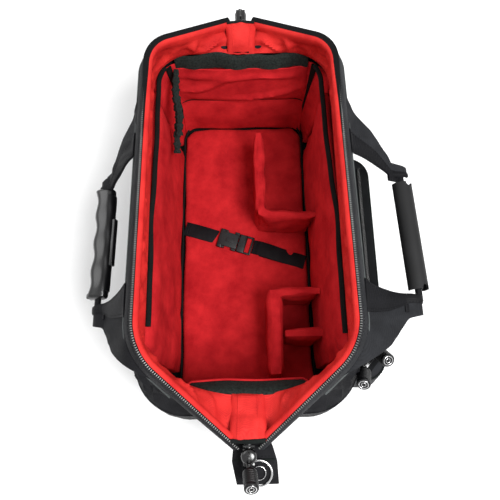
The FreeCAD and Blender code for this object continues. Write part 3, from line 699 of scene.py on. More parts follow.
def make_shell():
    levels = [2.3, 6, 10, 14, 24, 40, 58, 76, 94, 112, 130, 148, 164, 178, 188, 194, 197.6]
    rows = []
    for z in levels:
        half_x, half_y, r = section(TUB, z)
        rows.append(plan_loop(-half_x, half_x, -half_y, half_y, r, z))
    grid = np.array(rows)
    out = normals_of(grid, True)
    flip = np.sign((out * grid).sum(-1).mean())
    swell = np.sin(math.pi * np.clip((grid[..., 2] - 10) / 186, 0, 1))
    soft = ripple(grid, 90, 2, (1, 1, 0.7)) * 1.3 + creases(grid, 70, 8, (1, 1, 1.4)) * 1.2 - 1.2
    grid = grid + flip * out * (swell * soft)[..., None]
    shell = slab("outer_shell", grid, 2.0, wrap=True)
    show(shell, "black_cloth", "bag", "shell_left", "shell_right", "shell_far_end", "shell_near_end")
    half_x, half_y, r = section(TUB, 1)
    rings = []
    for inset, z in ((14, 0.2), (3, 0.0), (0.6, 0.5), (0, 1.4), (0.6, 2.2), (3, 2.3), (14, 2.3)):
        rings.append(plan_loop(inset - half_x, half_x - inset, inset - half_y, half_y - inset, r - inset, z))
    panel = build("bottom_panel", np.concatenate(rings), ring_faces(len(rings), len(rings[0])))
    show(panel, "black_cloth", "bag", "shell_bottom")
    half_x, half_y, r = section(TUB, 3.4)
    loop = plan_loop(-half_x - 0.7, half_x + 0.7, -half_y - 0.7, half_y + 0.7, r, 3.4)
    show(build("bottom_piping", *tube_mesh(loop, 1.8, 10, closed=True)), "binding", "bag")
    seams = []
    for x in (-1, 1):
        for y in (-SIDE_PANEL_HALF, SIDE_PANEL_HALF):
            line = np.array([(x * (section(TUB, z)[0] + 1.6), y, z) for z in np.linspace(6, 195, 30)])
            seams.append(strap_mesh(line, 9.0, 1.4, (x, 0, 0)))
            for shift in (-2.6, 2.6):
                seams += stitch_solids(line + np.array([x * 0.8, shift, 0]), (x, 0, 0))
    show(gather("shell_seams", seams), "binding", "bag")


def copy_of(node, name):
    """A new object with a copy of a CAD node's mesh, its doubled corners joined."""
    mesh = nodes[node].data.copy()
    mesh.name = name
    shell = bmesh.new()
    shell.from_mesh(mesh)
    bmesh.ops.remove_doubles(shell, verts=shell.verts, dist=1e-6)
    shell.to_mesh(mesh)
    shell.free()
    piece = bpy.data.objects.new(name, mesh)
    bpy.context.scene.collection.objects.link(piece)
    return piece


def settle(piece):
    """Replaces a piece's mesh by what its modifiers make of it."""
    graph = bpy.context.evaluated_depsgraph_get()
    piece.data = bpy.data.meshes.new_from_object(piece.evaluated_get(graph))
    piece.modifiers.clear()


def coordinates(mesh):
    flat = np.zeros(len(mesh.vertices) * 3)
    mesh.vertices.foreach_get("co", flat)
    return flat.reshape(-1, 3)


def set_coordinates(mesh, points):
    mesh.vertices.foreach_set("co", points.ravel())
    mesh.update()


PADS = {
    # node: voxel, how far it is drawn in first, how far the cloth may move
    "padding_left": (6.0, 1.6, 5.0),
    "padding_right": (6.0, 1.6, 5.0),
    "padding_far_end": (6.0, 1.6, 3.5),
    "padding_near_end": (6.0, 1.6, 3.5),
    "floor_pad": (6.5, -2.2, 3.0),
    "divider_far": (4.0, 2.2, 5.0),
    "divider_near": (4.0, 2.2, 5.0),
    "divider_cross": (4.0, 2.0, 4.6),
}


def make_pads():
    """Padded walls, floor and dividers: each CAD solid's skin is blown up a little as cloth, but no
    point moves further than the cap."""
    scene = bpy.context.scene
    pads = {}
    for node, (voxel, draw_in, cap) in PADS.items():
        pad = copy_of(node, f"{node}_cloth")
        remesh = pad.modifiers.new("remesh", "REMESH")
        remesh.mode = "VOXEL"
        remesh.voxel_size = voxel * MM
        settle(pad)
        normal = np.array([v.normal for v in pad.data.vertices])
        start = coordinates(pad.data) - normal * draw_in * MM
        set_coordinates(pad.data, start)
        pads[node] = (pad, start)
        cloth = pad.modifiers.new("cloth", "CLOTH")
        cloth.settings.use_pressure = True
        cloth.settings.uniform_pressure_force = 4.0
        cloth.settings.effector_weights.gravity = 0.0
        cloth.settings.quality = 4
        cloth.settings.tension_stiffness = 8.0
    for step in range(1, 21):
        scene.frame_set(step)
    for node, (pad, start) in pads.items():
        settle(pad)
        cap = PADS[node][2] * MM
        move = coordinates(pad.data) - start
        far = np.linalg.norm(move, axis=1, keepdims=True)
        set_coordinates(pad.data, start + move * np.minimum(1, cap / np.maximum(far, 1e-9)))
    scene.frame_set(1)
    return {node: pad for node, (pad, _) in pads.items()}


def crumple(pad, size, depth, seed):
    """Presses shallow dents into a pad."""
    points = coordinates(pad.data)
    normal = np.array([v.normal for v in pad.data.vertices])
    dents = ripple(points / MM, size, seed) * 0.6 - creases(points / MM, size * 1.4, seed + 1) * 0.5
    set_coordinates(pad.data, points + normal * (dents * depth * MM)[:, None])


def within_shell(pad, gap):
    """Draws in whatever part of a pad lies closer than the gap to the tub's outer face."""
    points = coordinates(pad.data) / MM
    half_x, half_y, r = section(TUB, points[:, 2])
    reach = np.abs(points[:, :2]) - np.stack([half_x - r, half_y - r], 1)
    beyond = np.maximum(reach, 0)
    length = np.linalg.norm(beyond, axis=1)
    depth = length + np.minimum(reach.max(1), 0) - r
    from_corner = beyond / np.maximum(length, 1e-9)[:, None]
    from_flat = reach == reach.max(1, keepdims=True)
    way = np.where(length[:, None] > 0, from_corner, from_flat)
    points[:, :2] -= np.maximum(depth + gap, 0)[:, None] * way * np.sign(points[:, :2])
    set_coordinates(pad.data, points * MM)


def dress_pads(pads):
    """Leans the right wall's far end in, dents all pads, smooths them and sets them on their bodies."""
    points = coordinates(pads["padding_right"].data)
    lean = np.clip(points[:, 1] / MM, 0, 210) * 0.042 * np.clip(points[:, 2] / MM / WALL_TOP, 0, 1) ** 2
    points[:, 0] -= lean * MM
    set_coordinates(pads["padding_right"].data, points)
    for k, (node, pad) in enumerate(pads.items()):
        loose = node.startswith("divider")
        crumple(pad, 46 if loose else 80, 1.5 if loose else 1.8, 40 + 3 * k)
        smooth = pad.modifiers.new("subdivision", "SUBSURF")
        smooth.levels = 1
        settle(pad)
        if not loose:
            within_shell(pad, 4.0)
        pad.data.shade_smooth()
        body = node if loose else "bag"
        show(pad, "red_padding", body, node)


def make_hems():
    """Rolled black binding along the top of each padded side wall."""
    rolls, threads = [], []
    for side, sign in SIDES.items():
        y = np.linspace(-158 if side == "left" else -172, 243, 70)
        lean = 0.040 * np.clip(y, 0, 250) if side == "right" else 4 * np.clip(y / 240, 0, 1) ** 2
        x = 129.6 - lean + ripple(np.stack([y * 0, y, y * 0], 1), 90, 12) * 1.1
        corner = np.clip((y - 214) / 29, 0, 1) ** 2 * 9
        line = np.stack([sign * (x - corner), y, 198.2 + 0.6 * np.sin(y / 31)], 1)
        rolls.append(sweep_mesh(lozenge(7.6, 5.0, 7), line, *frames_along(line)))
        threads += stitch_solids(line + np.array([-sign * 2.0, 0, 2.6]))
    show(gather("wall_hems", rolls), "binding", "bag", "hems")
    show(gather("hem_stitches", threads), "zip_tape", "bag")


def corner_line(sign, heights):
    """Points down one of the tub's two far inner corners."""
    line = []
    for z in heights:
        half_x, half_y, r = cavity_at(z)
        reach = r * (1 - math.cos(math.pi / 4)) + 1.5
        line.append((sign * (half_x - reach), half_y - reach, z))
    return np.array(line)


def make_bindings():
    """Black binding down the far corners and along both long edges of the floor."""
    strips = []
    half_x, half_y, _ = cavity_at(FLOOR_Z)
    for sign in SIDES.values():
        down = corner_line(sign, np.linspace(192, 22, 26))
        y = np.linspace(half_y - 26, -half_y + 34, 70)
        along = np.stack([np.full(70, sign * (half_x - 1.2)), y, np.full(70, FLOOR_Z + 2.6)], 1)
        along[:, 0] += sign * ripple(along, 120, 17) * 0.8
        wide = np.interp(down[:, 2], [20, 120, 192], [3.0, 5.0, 11.0])
        strips.append(sweep_mesh(lozenge(1.0, 0.36), down, *frames_along(down, (-sign, -1, 0)), wide))
        strips.append(tube_mesh(np.concatenate([down[-1:], along]), 1.9, 8))
    show(gather("inner_bindings", strips), "binding", "bag")


def end_wall_y(x, z):
    """How far the inner end wall is from the middle at a place across it."""
    half_x, half_y, r = cavity_at(z)
    over = np.clip(np.abs(x) - (half_x - r), 0, r - 0.5)
    return half_y - r + np.sqrt(r * r - over * over)


def make_end_pocket(end):
    """A gathered cloth panel across an end wall, sewn across its middle and open along its top."""
    sign = 1 if end == "far" else -1
    half = 104.0
    x = np.linspace(-half, half, 90)
    z = np.concatenate([np.linspace(17, 97, 22), np.linspace(98.5, 101.5, 4), np.linspace(103, 181, 24)])
    across, height = np.meshgrid(x, z)
    wall = np.vectorize(end_wall_y)(across, height)
    edge = np.clip((half - np.abs(across)) / 30, 0, 1) ** 0.6
    pillow = np.abs(np.sin(math.pi * np.clip((height - 17) / 83, 0, 1))) ** 0.6 * (height < 100)
    upper = np.clip((height - 100) / 12, 0, 1) ** 0.7
    flat = np.stack([across, height, height * 0], -1)
    slant = np.stack([across + 0.8 * height, height, height * 0], -1)
    pleats = 1.6 * creases(slant, 46, 61, (0.35, 1.5, 1)) * upper * np.clip((182 - height) / 20, 0.15, 1)
    gap = 2.2 + edge * (4.4 * pillow + 7.5 * upper + 3.4 * pleats) + ripple(flat, 55, 63) * 0.9
    if end == "near":
        gap = gap + edge * 24 * np.clip((height - 60) / 120, 0, 1) ** 1.5
    lower_hem = 1.6 * np.sin(across / 17) * np.clip((30 - height) / 13, 0, 1)
    grid = np.stack([across, sign * (wall - gap), height + lower_hem], -1)
    panel = slab(f"{end}_pocket_panel", grid, 2.4)
    show(panel, "red_padding", "bag", f"{end}_pocket")
    seam = resample(grid[22:26].mean(0) - np.array([0, sign * 1.2, 0]), 3.0)
    show(gather(f"{end}_pocket_seam", [strap_mesh(seam, 3.2, 1.4, (0, -sign, 0.2))]), "binding", "bag")
    return grid


def make_elastics(panels):
    """Wavy black elastic along each pocket's top."""
    for end, sign in (("near", -1), ("far", 1)):
        top = resample(panels[end][-1], 2.4)
        x = top[:, 0]
        inner = top[:, 1] * sign
        share = np.linspace(0, 1, 12)[:, None]
        if end == "far":
            wave = 5.5 * np.exp(-((x + 27) / 18) ** 2) + 2.2 * np.sin(x / 10) - 1.5 * np.cos(x / 23)
            outer = np.minimum(264 + wave * 0.4, np.vectorize(end_wall_y)(x, 196.0) + 3)
            y = inner + wave * 0.9 * (1 - share) + (outer - inner) * share ** 1.1
            top_z = 199.5 + wave * 0.9
        else:
            outer = np.clip(np.vectorize(end_wall_y)(x, 196.0) + 6, inner + 4, inner + 20)
            y = inner + 2.5 + (outer - inner - 2.5) * share
            top_z = 199.5 + 0.8 * np.sin(x / 14)
        z = 181 + (top_z - 181) * np.sin(share * math.pi / 2)
        rib = 0.3 * np.sin(share * 11 * math.pi) + 0 * x
        grid = np.stack([np.broadcast_to(x, y.shape), sign * y, z + rib], -1)
        strip = slab(f"{end}_elastic", grid, 1.7)
        show(strip, "elastic", "bag", *(["pocket_elastics"] if end == "far" else []))


def make_corner_strap():
    """The loose, bunched strap in the far left corner, and its shorter second end beside it."""
    layers = []
    for spread, lower in ((0.0, 0.0), (5.0, 22.0)):
        share = np.linspace(0, 1, 60)
        z = 190 - (66 - lower) * share
        path = np.array([(-100, 247), (-103, 214), (-99, 182), (-103, 160), (-104, 136)])
        at = share * (1 - lower / 110)
        x = np.interp(at, np.linspace(0, 1, 5), path[:, 0]) + spread * share - 2
        y = np.interp(at, np.linspace(0, 1, 5), path[:, 1])
        line = resample(np.stack([x, y, z], 1), 2.0)
        step = np.arange(len(line))
        bunch = 1 + 0.18 * np.sin(step * 0.9) + 0.12 * np.sin(step * 2.1)
        bunch = bunch * np.interp(step, [0, 6], [0.6, 1.0])
        layers.append(sweep_mesh(lozenge(10.5, 5.0, 7), line, *frames_along(line), bunch))
    show(gather("hanging_strap", layers), "elastic", "bag", "corner_strap")


# ---------------------------------------------------------------- zip ends

def main_slider_solids(end):
    """A slider: two plates, a bridge, side flanges and an arched bail. The near one has a rounded cap too."""
    y, z = end * 322.0, HINGE_Z + 1.5
    solids = [
        block_mesh(-7, 7, y - 10, y + 10, z - 3.3, z - 1.7, 0.7),
        block_mesh(-7, 7, y - 10, y + 10, z + 1.9, z + 3.8, 0.8),
        block_mesh(-1.7, 1.7, *sorted((y + end * 1, y + end * 9)), z - 2.4, z + 2.6, 0.4),
    ]
    for x in (-6.3, 6.3):
        solids.append(block_mesh(x - 0.8, x + 0.8, y - 9, y + 9, z + 0.4, z + 2.6, 0.5))
    turns = np.linspace(0, math.pi, 17)
    arch = np.stack([np.zeros(17), y + 6.4 * np.cos(turns), z + 3.0 + 6.2 * np.sin(turns) ** 0.7], 1)
    solids.append(sweep_mesh(lozenge(2.8, 1.9), arch, *frames_along(arch, (1, 0, 0))))
    if end < 0:
        cap = [(0, 0.3), (0, 9.0), (2.2, 9.8), (4.6, 9.2), (6.2, 7.2), (6.8, 4.6), (6.9, 0.3)]
        solids.append(turned_mesh(cap, np.array([0.0, y + 1.0, z + 0.8]), np.array([0.0, -0.16, 1.0])))
    return solids


def pull_pieces(name, origin, direction, body, node):
    """A rubber barrel on a metal link, with a plain ring set in its free end."""
    origin, direction = np.array(origin, float), unit(np.array(direction, float))
    r = PULL_RADIUS
    outline = [(6.5, 2.6), (7.2, 3.6), (9.6, 5.2), (11.0, r * 0.84), (12.4, r * 0.97)]
    for k in range(7):
        at = 14 + 2.6 * k
        outline += [(at, r), (at + 1.5, r), (at + 1.9, r - 0.45), (at + 2.3, r - 0.45)]
    outline += [(33.4, r), (35.6, r), (36.6, r - 0.6), (37.1, r - 1.6), (37.0, r - 2.2), (36.4, r - 2.5),
                (36.3, 0.4)]
    barrel = gather(f"{name}_barrel", [turned_mesh(outline, origin, direction)], 40)
    show(barrel, "pull_rubber", body, node)
    side = unit(np.cross(direction, (0.3, 0.9, 0.2)))
    other = np.cross(direction, side)
    turns = np.linspace(0, 2 * math.pi, 32, endpoint=False)
    round_it = np.cos(turns)[:, None] * side + np.sin(turns)[:, None] * other
    solids = []
    for radius, thick in ((r - 3.0, 0.7), (r - 6.0, 0.5)):
        loop = origin + 36.6 * direction + radius * round_it
        solids.append(tube_mesh(loop, thick, 8, tuple(direction), closed=True))
    show(gather(f"{name}_ring", solids), "ring", body)
    link = np.array([origin + direction * t for t in (0.8, 3.0, 6.0, 9.0)])
    cross_bar = np.array([origin + direction * 1.0 + side * s for s in (-2.6, 0, 2.6)])
    lines = [link - side * 2.0, link + side * 2.0, cross_bar]
    bars = [tube_mesh(line, 1.2, 8, tuple(other)) for line in lines]
    show(gather(f"{name}_link", bars), "slider", body)


def make_zip_ends():
    sliders = gather("main_zip_sliders", main_slider_solids(-1) + main_slider_solids(1))
    show(sliders, "slider", "bag", "main_sliders")
    pull_pieces("near_pull", (0, -329.4, 222), (0.065, -0.71, 0.70), "near_pull", "main_pull_near")
    pull_pieces("far_pull", (0, 334, 218.5), (0, 0.07, -1), "far_pull", "main_pull_far")
    tails = []
    for x in (-4.6, 4.6):
        line = [(x, -312, 215.8), (x, -322, 216.0), (x, -334, 215.6), (x, -343, 212.4), (x, -350, 208.0)]
        tails.append(strap_mesh(resample(line, 3.0), 6.4, 1.3))
    show(gather("zip_tail_ends", tails), "zip_tape", "bag", "zip_tails")


def make_tab():
    """The cloth tab behind the near slider, with a sewn fold and a plain ring on it."""
    y = np.linspace(-0.42, 1, 30)
    across = np.linspace(0, 1, 26)
    left = np.interp(y, [-0.42, 0, 0.35, 1], [-17, -19, -20.5, -15])
    right = np.interp(y, [-0.42, 0, 0.35, 1], [24, 30, 34, 35.5])
    grid = np.zeros((30, 26, 3))
    grid[..., 0] = left[:, None] + (right - left)[:, None] * across
    grid[..., 1] = -(313 + 40.5 * y)[:, None]
    height = np.interp(y, [-0.42, -0.1, 0.5, 1], [198.5, 203.5, 203, 197.6])
    grid[..., 2] = height[:, None] + ripple(grid, 30, 81) * 0.8 - 1.5 * np.abs(2 * across - 1)[None] ** 3
    tab = slab("end_tab", grid, 2.0)
    show(tab, "black_cloth", "bag", "zip_tab")
    details = [strap_mesh(grid[15, 1:-1] + 1.5 * UP, 3.0, 1.2)]
    for row in (13, 17, 28):
        details += stitch_solids(grid[row, 1:-1] + 1.2 * UP)
    show(gather("end_tab_seam", details), "binding", "bag")
    turns = np.linspace(0, 2 * math.pi, 48, endpoint=False)
    tilt = math.radians(16)
    flat = np.stack([np.cos(turns), np.sin(turns) * math.cos(tilt), np.sin(turns) * math.sin(tilt)], 1)
    centre = np.array([12, -341, 204.2])
    loops = [(15.6, 1.35, 10), (8.2, 0.6, 8)]
    loops = [tube_mesh(centre + radius * flat, thick, count, closed=True) for radius, thick, count in loops]
    show(gather("end_ring", loops), "ring", "bag", "tab_ring")


# ---------------------------------------------------------------- outer pocket

def pocket_loop(z, outer, near, far, r, count=16):
    """From the tub wall at the near end, round the pocket's outside, to the tub wall at the far end."""
    corners = [(138, near), (outer, near), (outer, far), (138, far)]
    line = rounded_line(corners, [r, r], (6, count, 60, count, 6))
    return np.concatenate([line, np.full((len(line), 1), float(z))], 1)


def make_side_pocket():
    rows = []
    for z in np.concatenate([np.linspace(24, 176, 20), [180, 183]]):
        outer, near, far, r = section(POCKET, z)
        belly = 3.0 * math.sin(math.pi * min(1, (z - 24) / 160))
        rows.append(pocket_loop(z, outer + belly * 0.6, near, far, r))
    outer, near, far, r = section(POCKET, POCKET_TOP)
    for inset, z in ((1.5, 184.8), (4, 185.8), (9, 186.0), (16, 186.0), (24, 186.0), (33, 186.0)):
        corner = max(r - inset * 0.6, 8)
        rows.append(pocket_loop(z, outer - inset, near + inset * 0.9, far - inset * 0.9, corner))
    grid = np.array(rows)
    normal = normals_of(grid)
    outward = np.sign((normal[8] * np.array([1, 0, 0])).sum(-1).mean())
    slack = np.clip((grid[..., 2] - 26) / 40, 0, 1) * np.clip((184 - grid[..., 2]) / 20, 0.05, 1)
    folds = ripple(grid, 70, 91, (1, 0.8, 1)) * 1.4 + creases(grid, 60, 92, (1, 0.7, 1.5)) * 1.6 - 1.4
    grid = grid + outward * normal * (slack * folds)[..., None]
    pouch = slab("side_pouch", grid, 2.0)
    show(pouch, "grey_cloth", "bag", "side_pocket")
    edge = pocket_loop(184.6, outer - 0.4, near + 0.4, far - 0.4, r)
    lip = [tube_mesh(edge[3:-3], 1.7, 8)]
    lip += stitch_solids(pocket_loop(180, outer + 1.6, near - 1.0, far + 1.0, r)[6:-6], (1, 0, 0))
    show(gather("side_pouch_piping", lip), "binding", "bag")


def turned_block(middle, along, size, round_by):
    """A rounded box whose own X lies along a level direction, set at its middle."""
    points, faces = block_mesh(*size, round_by)
    side = np.cross(along, UP)
    return middle + points[:, :1] * along + points[:, 1:2] * side + points[:, 2:] * UP, faces


def make_pocket_zip():
    """The pocket's zip: a long run, a short run round the near corner, and a slider on each."""
    corner = np.array([POCKET_ZIP_X, POCKET_ZIP_Y[0], POCKET_TOP + 1.3])
    far = np.array([POCKET_ZIP_X, POCKET_ZIP_Y[1], POCKET_TOP + 1.3])
    on = np.array([-math.sin(POCKET_TURN), math.cos(POCKET_TURN), 0])
    tapes, teeth = [], []
    for line in (resample([far, corner], 3.0), resample([corner, corner + on * POCKET_SHORT], 3.0)):
        along = unit(line[-1] - line[0])
        side = np.cross(along, UP)
        for s in (-1, 1):
            tapes.append(strap_mesh(line + side * s * 6.4 - 0.5 * UP, 11.2, 1.0))
            for at in resample(line, 2.4)[:-1]:
                middle = at + along * (0.6 * s) + side * s * 0.9
                teeth.append(turned_block(middle, along, (-0.8, 0.8, -1.5, 1.5, 0, 1.7), 0.35))
    show(gather("pocket_zip_tape", tapes), "zip_tape", "bag", "pocket_zips")
    show(gather("pocket_zip_teeth", teeth, 35), "slider", "bag")
    plates = [(-8, 8, -5, 5, 3.0, 5.2), (-8, 8, -5, -3.4, 0.5, 4.4), (-8, 8, 3.4, 5, 0.5, 4.4)]
    turns = np.linspace(0, math.pi, 15)
    forward, rise = 5.0 * np.cos(turns), 4.8 + 5.0 * np.sin(turns) ** 0.7
    along_zip = np.array([0, 1.0, 0])
    for name, middle, along in (("top", corner + along_zip * 10, along_zip), ("end", corner + on * 17, on)):
        solids = [turned_block(middle, along, plate, 0.6) for plate in plates]
        arch = middle + forward[:, None] * along + rise[:, None] * UP
        across = tuple(np.cross(along, UP))
        solids.append(sweep_mesh(lozenge(2.4, 1.6), arch, *frames_along(arch, across)))
        runner = gather(f"pocket_runner_{name}_body", solids)
        show(runner, "slider", f"pocket_runner_{name}", f"pocket_slider_{name}")
    top, end = "top_runner_pull", "end_runner_pull"
    pull_pieces(top, (168, -193.6, 196), (0.22, -0.51, 0.83), top, "pocket_pull_top")
    pull_pieces(end, (152.2, -214.8, 196), (-0.22, -0.70, 0.68), end, "pocket_pull_end")


# ---------------------------------------------------------------- handles

def handled(points, side):
    """From a handle's own plane (distance from its pivot, Y, height over the plane) to its place at rest."""
    drop = HANDLE_DROP[side]
    d, y, h = points[..., 0], points[..., 1], points[..., 2]
    x = PIVOT_X + d * math.cos(drop) + h * math.sin(drop)
    z = PIVOT_Z - d * math.sin(drop) + h * math.cos(drop)
    return mirrored(np.stack([x, y, z], -1), side)


def skewed(points, side):
    """Turned a little in the handle's plane, then set at the end of its reach."""
    middle = sum(GRIP_ENDS[side]) / 2
    d, y, h = points[..., 0], points[..., 1] - middle, points[..., 2]
    c, s = math.cos(GRIP_SKEW), math.sin(GRIP_SKEW)
    return np.stack([HANDLE_REACH + d * c - y * s, middle + d * s + y * c, h], -1)


def on_grip(solid, side):
    points, faces = solid
    return handled(skewed(np.asarray(points, float), side), side), faces


def rooted(points, side):
    """From a handle's plane to its place at rest, drawn in to the half frame's outer face near the pivot."""
    grid = handled(points, side)
    seam = rim_at(260, 3.0, side, 1.2, -27.0)
    seam = seam[np.argsort(seam[:, 1])]
    root = np.stack([np.interp(grid[..., 1], seam[:, 1], seam[:, axis]) for axis in range(3)], -1)
    root = root + (grid - handled(points * np.array([1, 1, 0]), side))
    share = np.clip(1 - (points[..., 0] + 8) / 40, 0, 1)[..., None] ** 1.3
    return grid + (root - grid) * share


def make_wing(side, end):
    """One cloth wing from the half frame to the grip, with a folded band sewn along its inner edge."""
    reach, outer_y, inner_y = WINGS[end]
    along, across = np.meshgrid(np.linspace(0, 1, 34), np.linspace(0, 1, 30), indexing="ij")
    d = reach[0] + (reach[-1] - reach[0]) * along
    bow = np.sign(outer_y[0] - inner_y[0]) * 5.0 * np.sin(math.pi * np.clip(d / reach[1], 0, 1))
    outer = np.interp(d, reach, outer_y) + bow * 0.5
    inner = np.interp(d, reach, inner_y) + bow * 0.8
    place = np.stack([d, outer + (inner - outer) * across], -1)
    flat = np.concatenate([place, np.zeros(place.shape[:2] + (1,))], -1)
    loose = np.clip(along / 0.2, 0, 1) * np.clip((1 - along) / 0.3, 0, 1)
    wrap = 6.2 * np.clip((d - 62) / 12, 0, 1) ** 0.7 - 9.0 * np.clip((d - 80) / 7, 0, 1) ** 2
    folds = ripple(flat, 48, 101 + len(end)) * 1.5 + creases(flat, 60, 103, (0.4, 1.4, 1)) * 1.2 - 0.8
    height = loose * folds + wrap
    grid = rooted(np.concatenate([place, height[..., None]], -1), side)
    wing = slab(f"wing_{end}_{side}", grid, 2.0)
    slot = "black_cloth" if side == "left" else "grey_cloth"
    dress(wing, slot)
    columns = slice(18, 30)
    band_grid = np.concatenate([place, (height + 2.0)[..., None]], -1)[2:, columns]
    band_grid[..., 2] += 0.5 * np.sin(np.linspace(0, math.pi, 12))[None]
    band = slab(f"wing_band_{end}_{side}", rooted(band_grid, side), 1.5)
    dress(band, "webbing")
    rows = []
    for column in (1, -2):
        rows += stitch_solids(rooted(band_grid[:, column] + np.array([0, 0, 0.9]), side), (0, 0, 1))
    threads = gather(f"wing_stitches_{end}_{side}", rows)
    dress(threads, "zip_tape")
    for piece in (wing, band, threads):
        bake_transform(piece)
    if end == "near":
        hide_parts(f"handle_wings_{side}")


def make_core(side):
    """The rolled webbing that runs through the grip, and its flat ends that go into the wings."""
    y0, y1 = GRIP_ENDS[side]
    y = np.linspace(y0 - 15, y1 + 15, 60)
    line = np.stack([y * 0, y, 0.4 * np.sin(y / 30)], 1)
    radius = 4.9 + 0.15 * np.sin(y * 2.2)
    points, faces = sweep_mesh(circle(1.0, 14, flat=0.86), line, *frames_along(line))
    points = line.repeat(14, 0) + (points - line.repeat(14, 0)) * radius.repeat(14)[:, None]
    solids = [on_grip((points, faces), side)]
    ends = []
    for d0, d1, a, b in ((58, HANDLE_REACH + 3, y0 - 31, y0 - 11), (54, HANDLE_REACH - 5, y1 + 3, y1 + 19)):
        for height in (-1.2, 1.2):
            points, faces = block_mesh(d0, d1, a, b, height - 1.0, height + 1.0, 0.6)
            ends.append((handled(points, side), faces))
    show(gather(f"core_{side}", solids + ends), "webbing", f"handle_{side}", f"handle_core_{side}")


def make_finger_grip():
    """The moulded left grip: a glossy body with four finger hollows, a soft inner saddle and a raised key."""
    side = "left"
    y0, y1 = GRIP_ENDS[side]
    share = np.linspace(0, 1, 110)
    y = y0 + (y1 - y0) * share
    outer = GRIP_HALF - 2.5 + 1.9 * np.cos(8 * math.pi * share) + 3.5 * np.abs(2 * share - 1) ** 3
    inner = -GRIP_HALF + 2 - 1.5 * (1 - (2 * share - 1) ** 2)
    from_end = np.minimum(share, 1 - share) * (y1 - y0)
    close = np.sqrt(np.clip(1 - (np.clip(5 - from_end, 0, 5) / 5) ** 2, 0.12, 1))
    centre, half = (outer + inner) / 2, (outer - inner) / 2 * (0.45 + 0.55 * close)
    thick = 9.8 * close * (1 - 0.06 * np.cos(8 * math.pi * share))
    turns = np.linspace(0, 2 * math.pi, 36, endpoint=False)

    def ring(turn, grow=0.0):
        c, s = np.cos(turn), np.sin(turn)
        d = centre[:, None] + (half[:, None] + grow) * (np.sign(c) * np.abs(c) ** 0.75)
        h = (thick[:, None] + grow) * (np.sign(s) * np.abs(s) ** 0.75)
        return np.stack([d, np.broadcast_to(y[:, None], d.shape), h], -1)

    def rolled(points):
        c, s = math.cos(GRIP_ROLL), math.sin(GRIP_ROLL)
        d, h = points[..., 0], points[..., 2]
        return np.stack([d * c - h * s, points[..., 1], d * s + h * c], -1)

    body = rolled(ring(turns)).reshape(-1, 3), ring_faces(len(y), len(turns))
    shell = gather("finger_grip", [on_grip(body, side)], 60)
    show(shell, "grip_plastic", f"handle_{side}", f"handle_grip_{side}")
    saddle = ring(np.linspace(math.radians(118), math.radians(242), 20), 0.5)[8:-8]
    saddle = saddle + 0.25 * np.sin(saddle[..., 1:2] * 2.4) * np.array([-1, 0, 0])
    insert = slab("finger_grip_saddle", handled(skewed(rolled(saddle), side), side), 1.2)
    show(insert, "pull_rubber", f"handle_{side}")
    middle = (y0 + y1) / 2
    key = block_mesh(-GRIP_HALF - 4.0, -GRIP_HALF + 4, middle - 34, middle + 34, -4.6, 4.6, 1.4)
    cap = block_mesh(GRIP_HALF - 4, GRIP_HALF + 1.2, y0 + 1, y0 + 8, -6, 6, 1.4)
    raised = [on_grip((rolled(np.asarray(points, float)), faces), side) for points, faces in (key, cap)]
    show(gather("finger_grip_key", raised), "grip_plastic", f"handle_{side}")


# ---------------------------------------------------------------- holding strap

def laid(points):
    """From the strap's own line, from the left wall, to its place on the floor."""
    (x0, y0), (x1, y1) = STRAP_ENDS
    turn = math.atan2(y1 - y0, x1 - x0)
    c, s = math.cos(turn), math.sin(turn)
    x, y, z = points[..., 0], points[..., 1], points[..., 2]
    return np.stack([x0 + x * c - y * s, y0 + x * s + y * c, FLOOR_Z + 0.3 + z], -1)


def strap_solid(xs, heights, wide, thick, sway=0.0):
    line = resample(np.stack([xs, np.zeros(len(xs)), heights], 1), 3.0)
    line[:, 1] += sway * np.sin(line[:, 0] / 16)
    points, faces = strap_mesh(line, wide, thick)
    return laid(points), faces


def laid_blocks(sizes, start=0.0):
    """Rounded boxes on the strap's line. Each size is as for block_mesh, its X counted from the start."""
    solids = [block_mesh(start + x0, start + x1, *rest) for x0, x1, *rest in sizes]
    return [(laid(points), faces) for points, faces in solids]


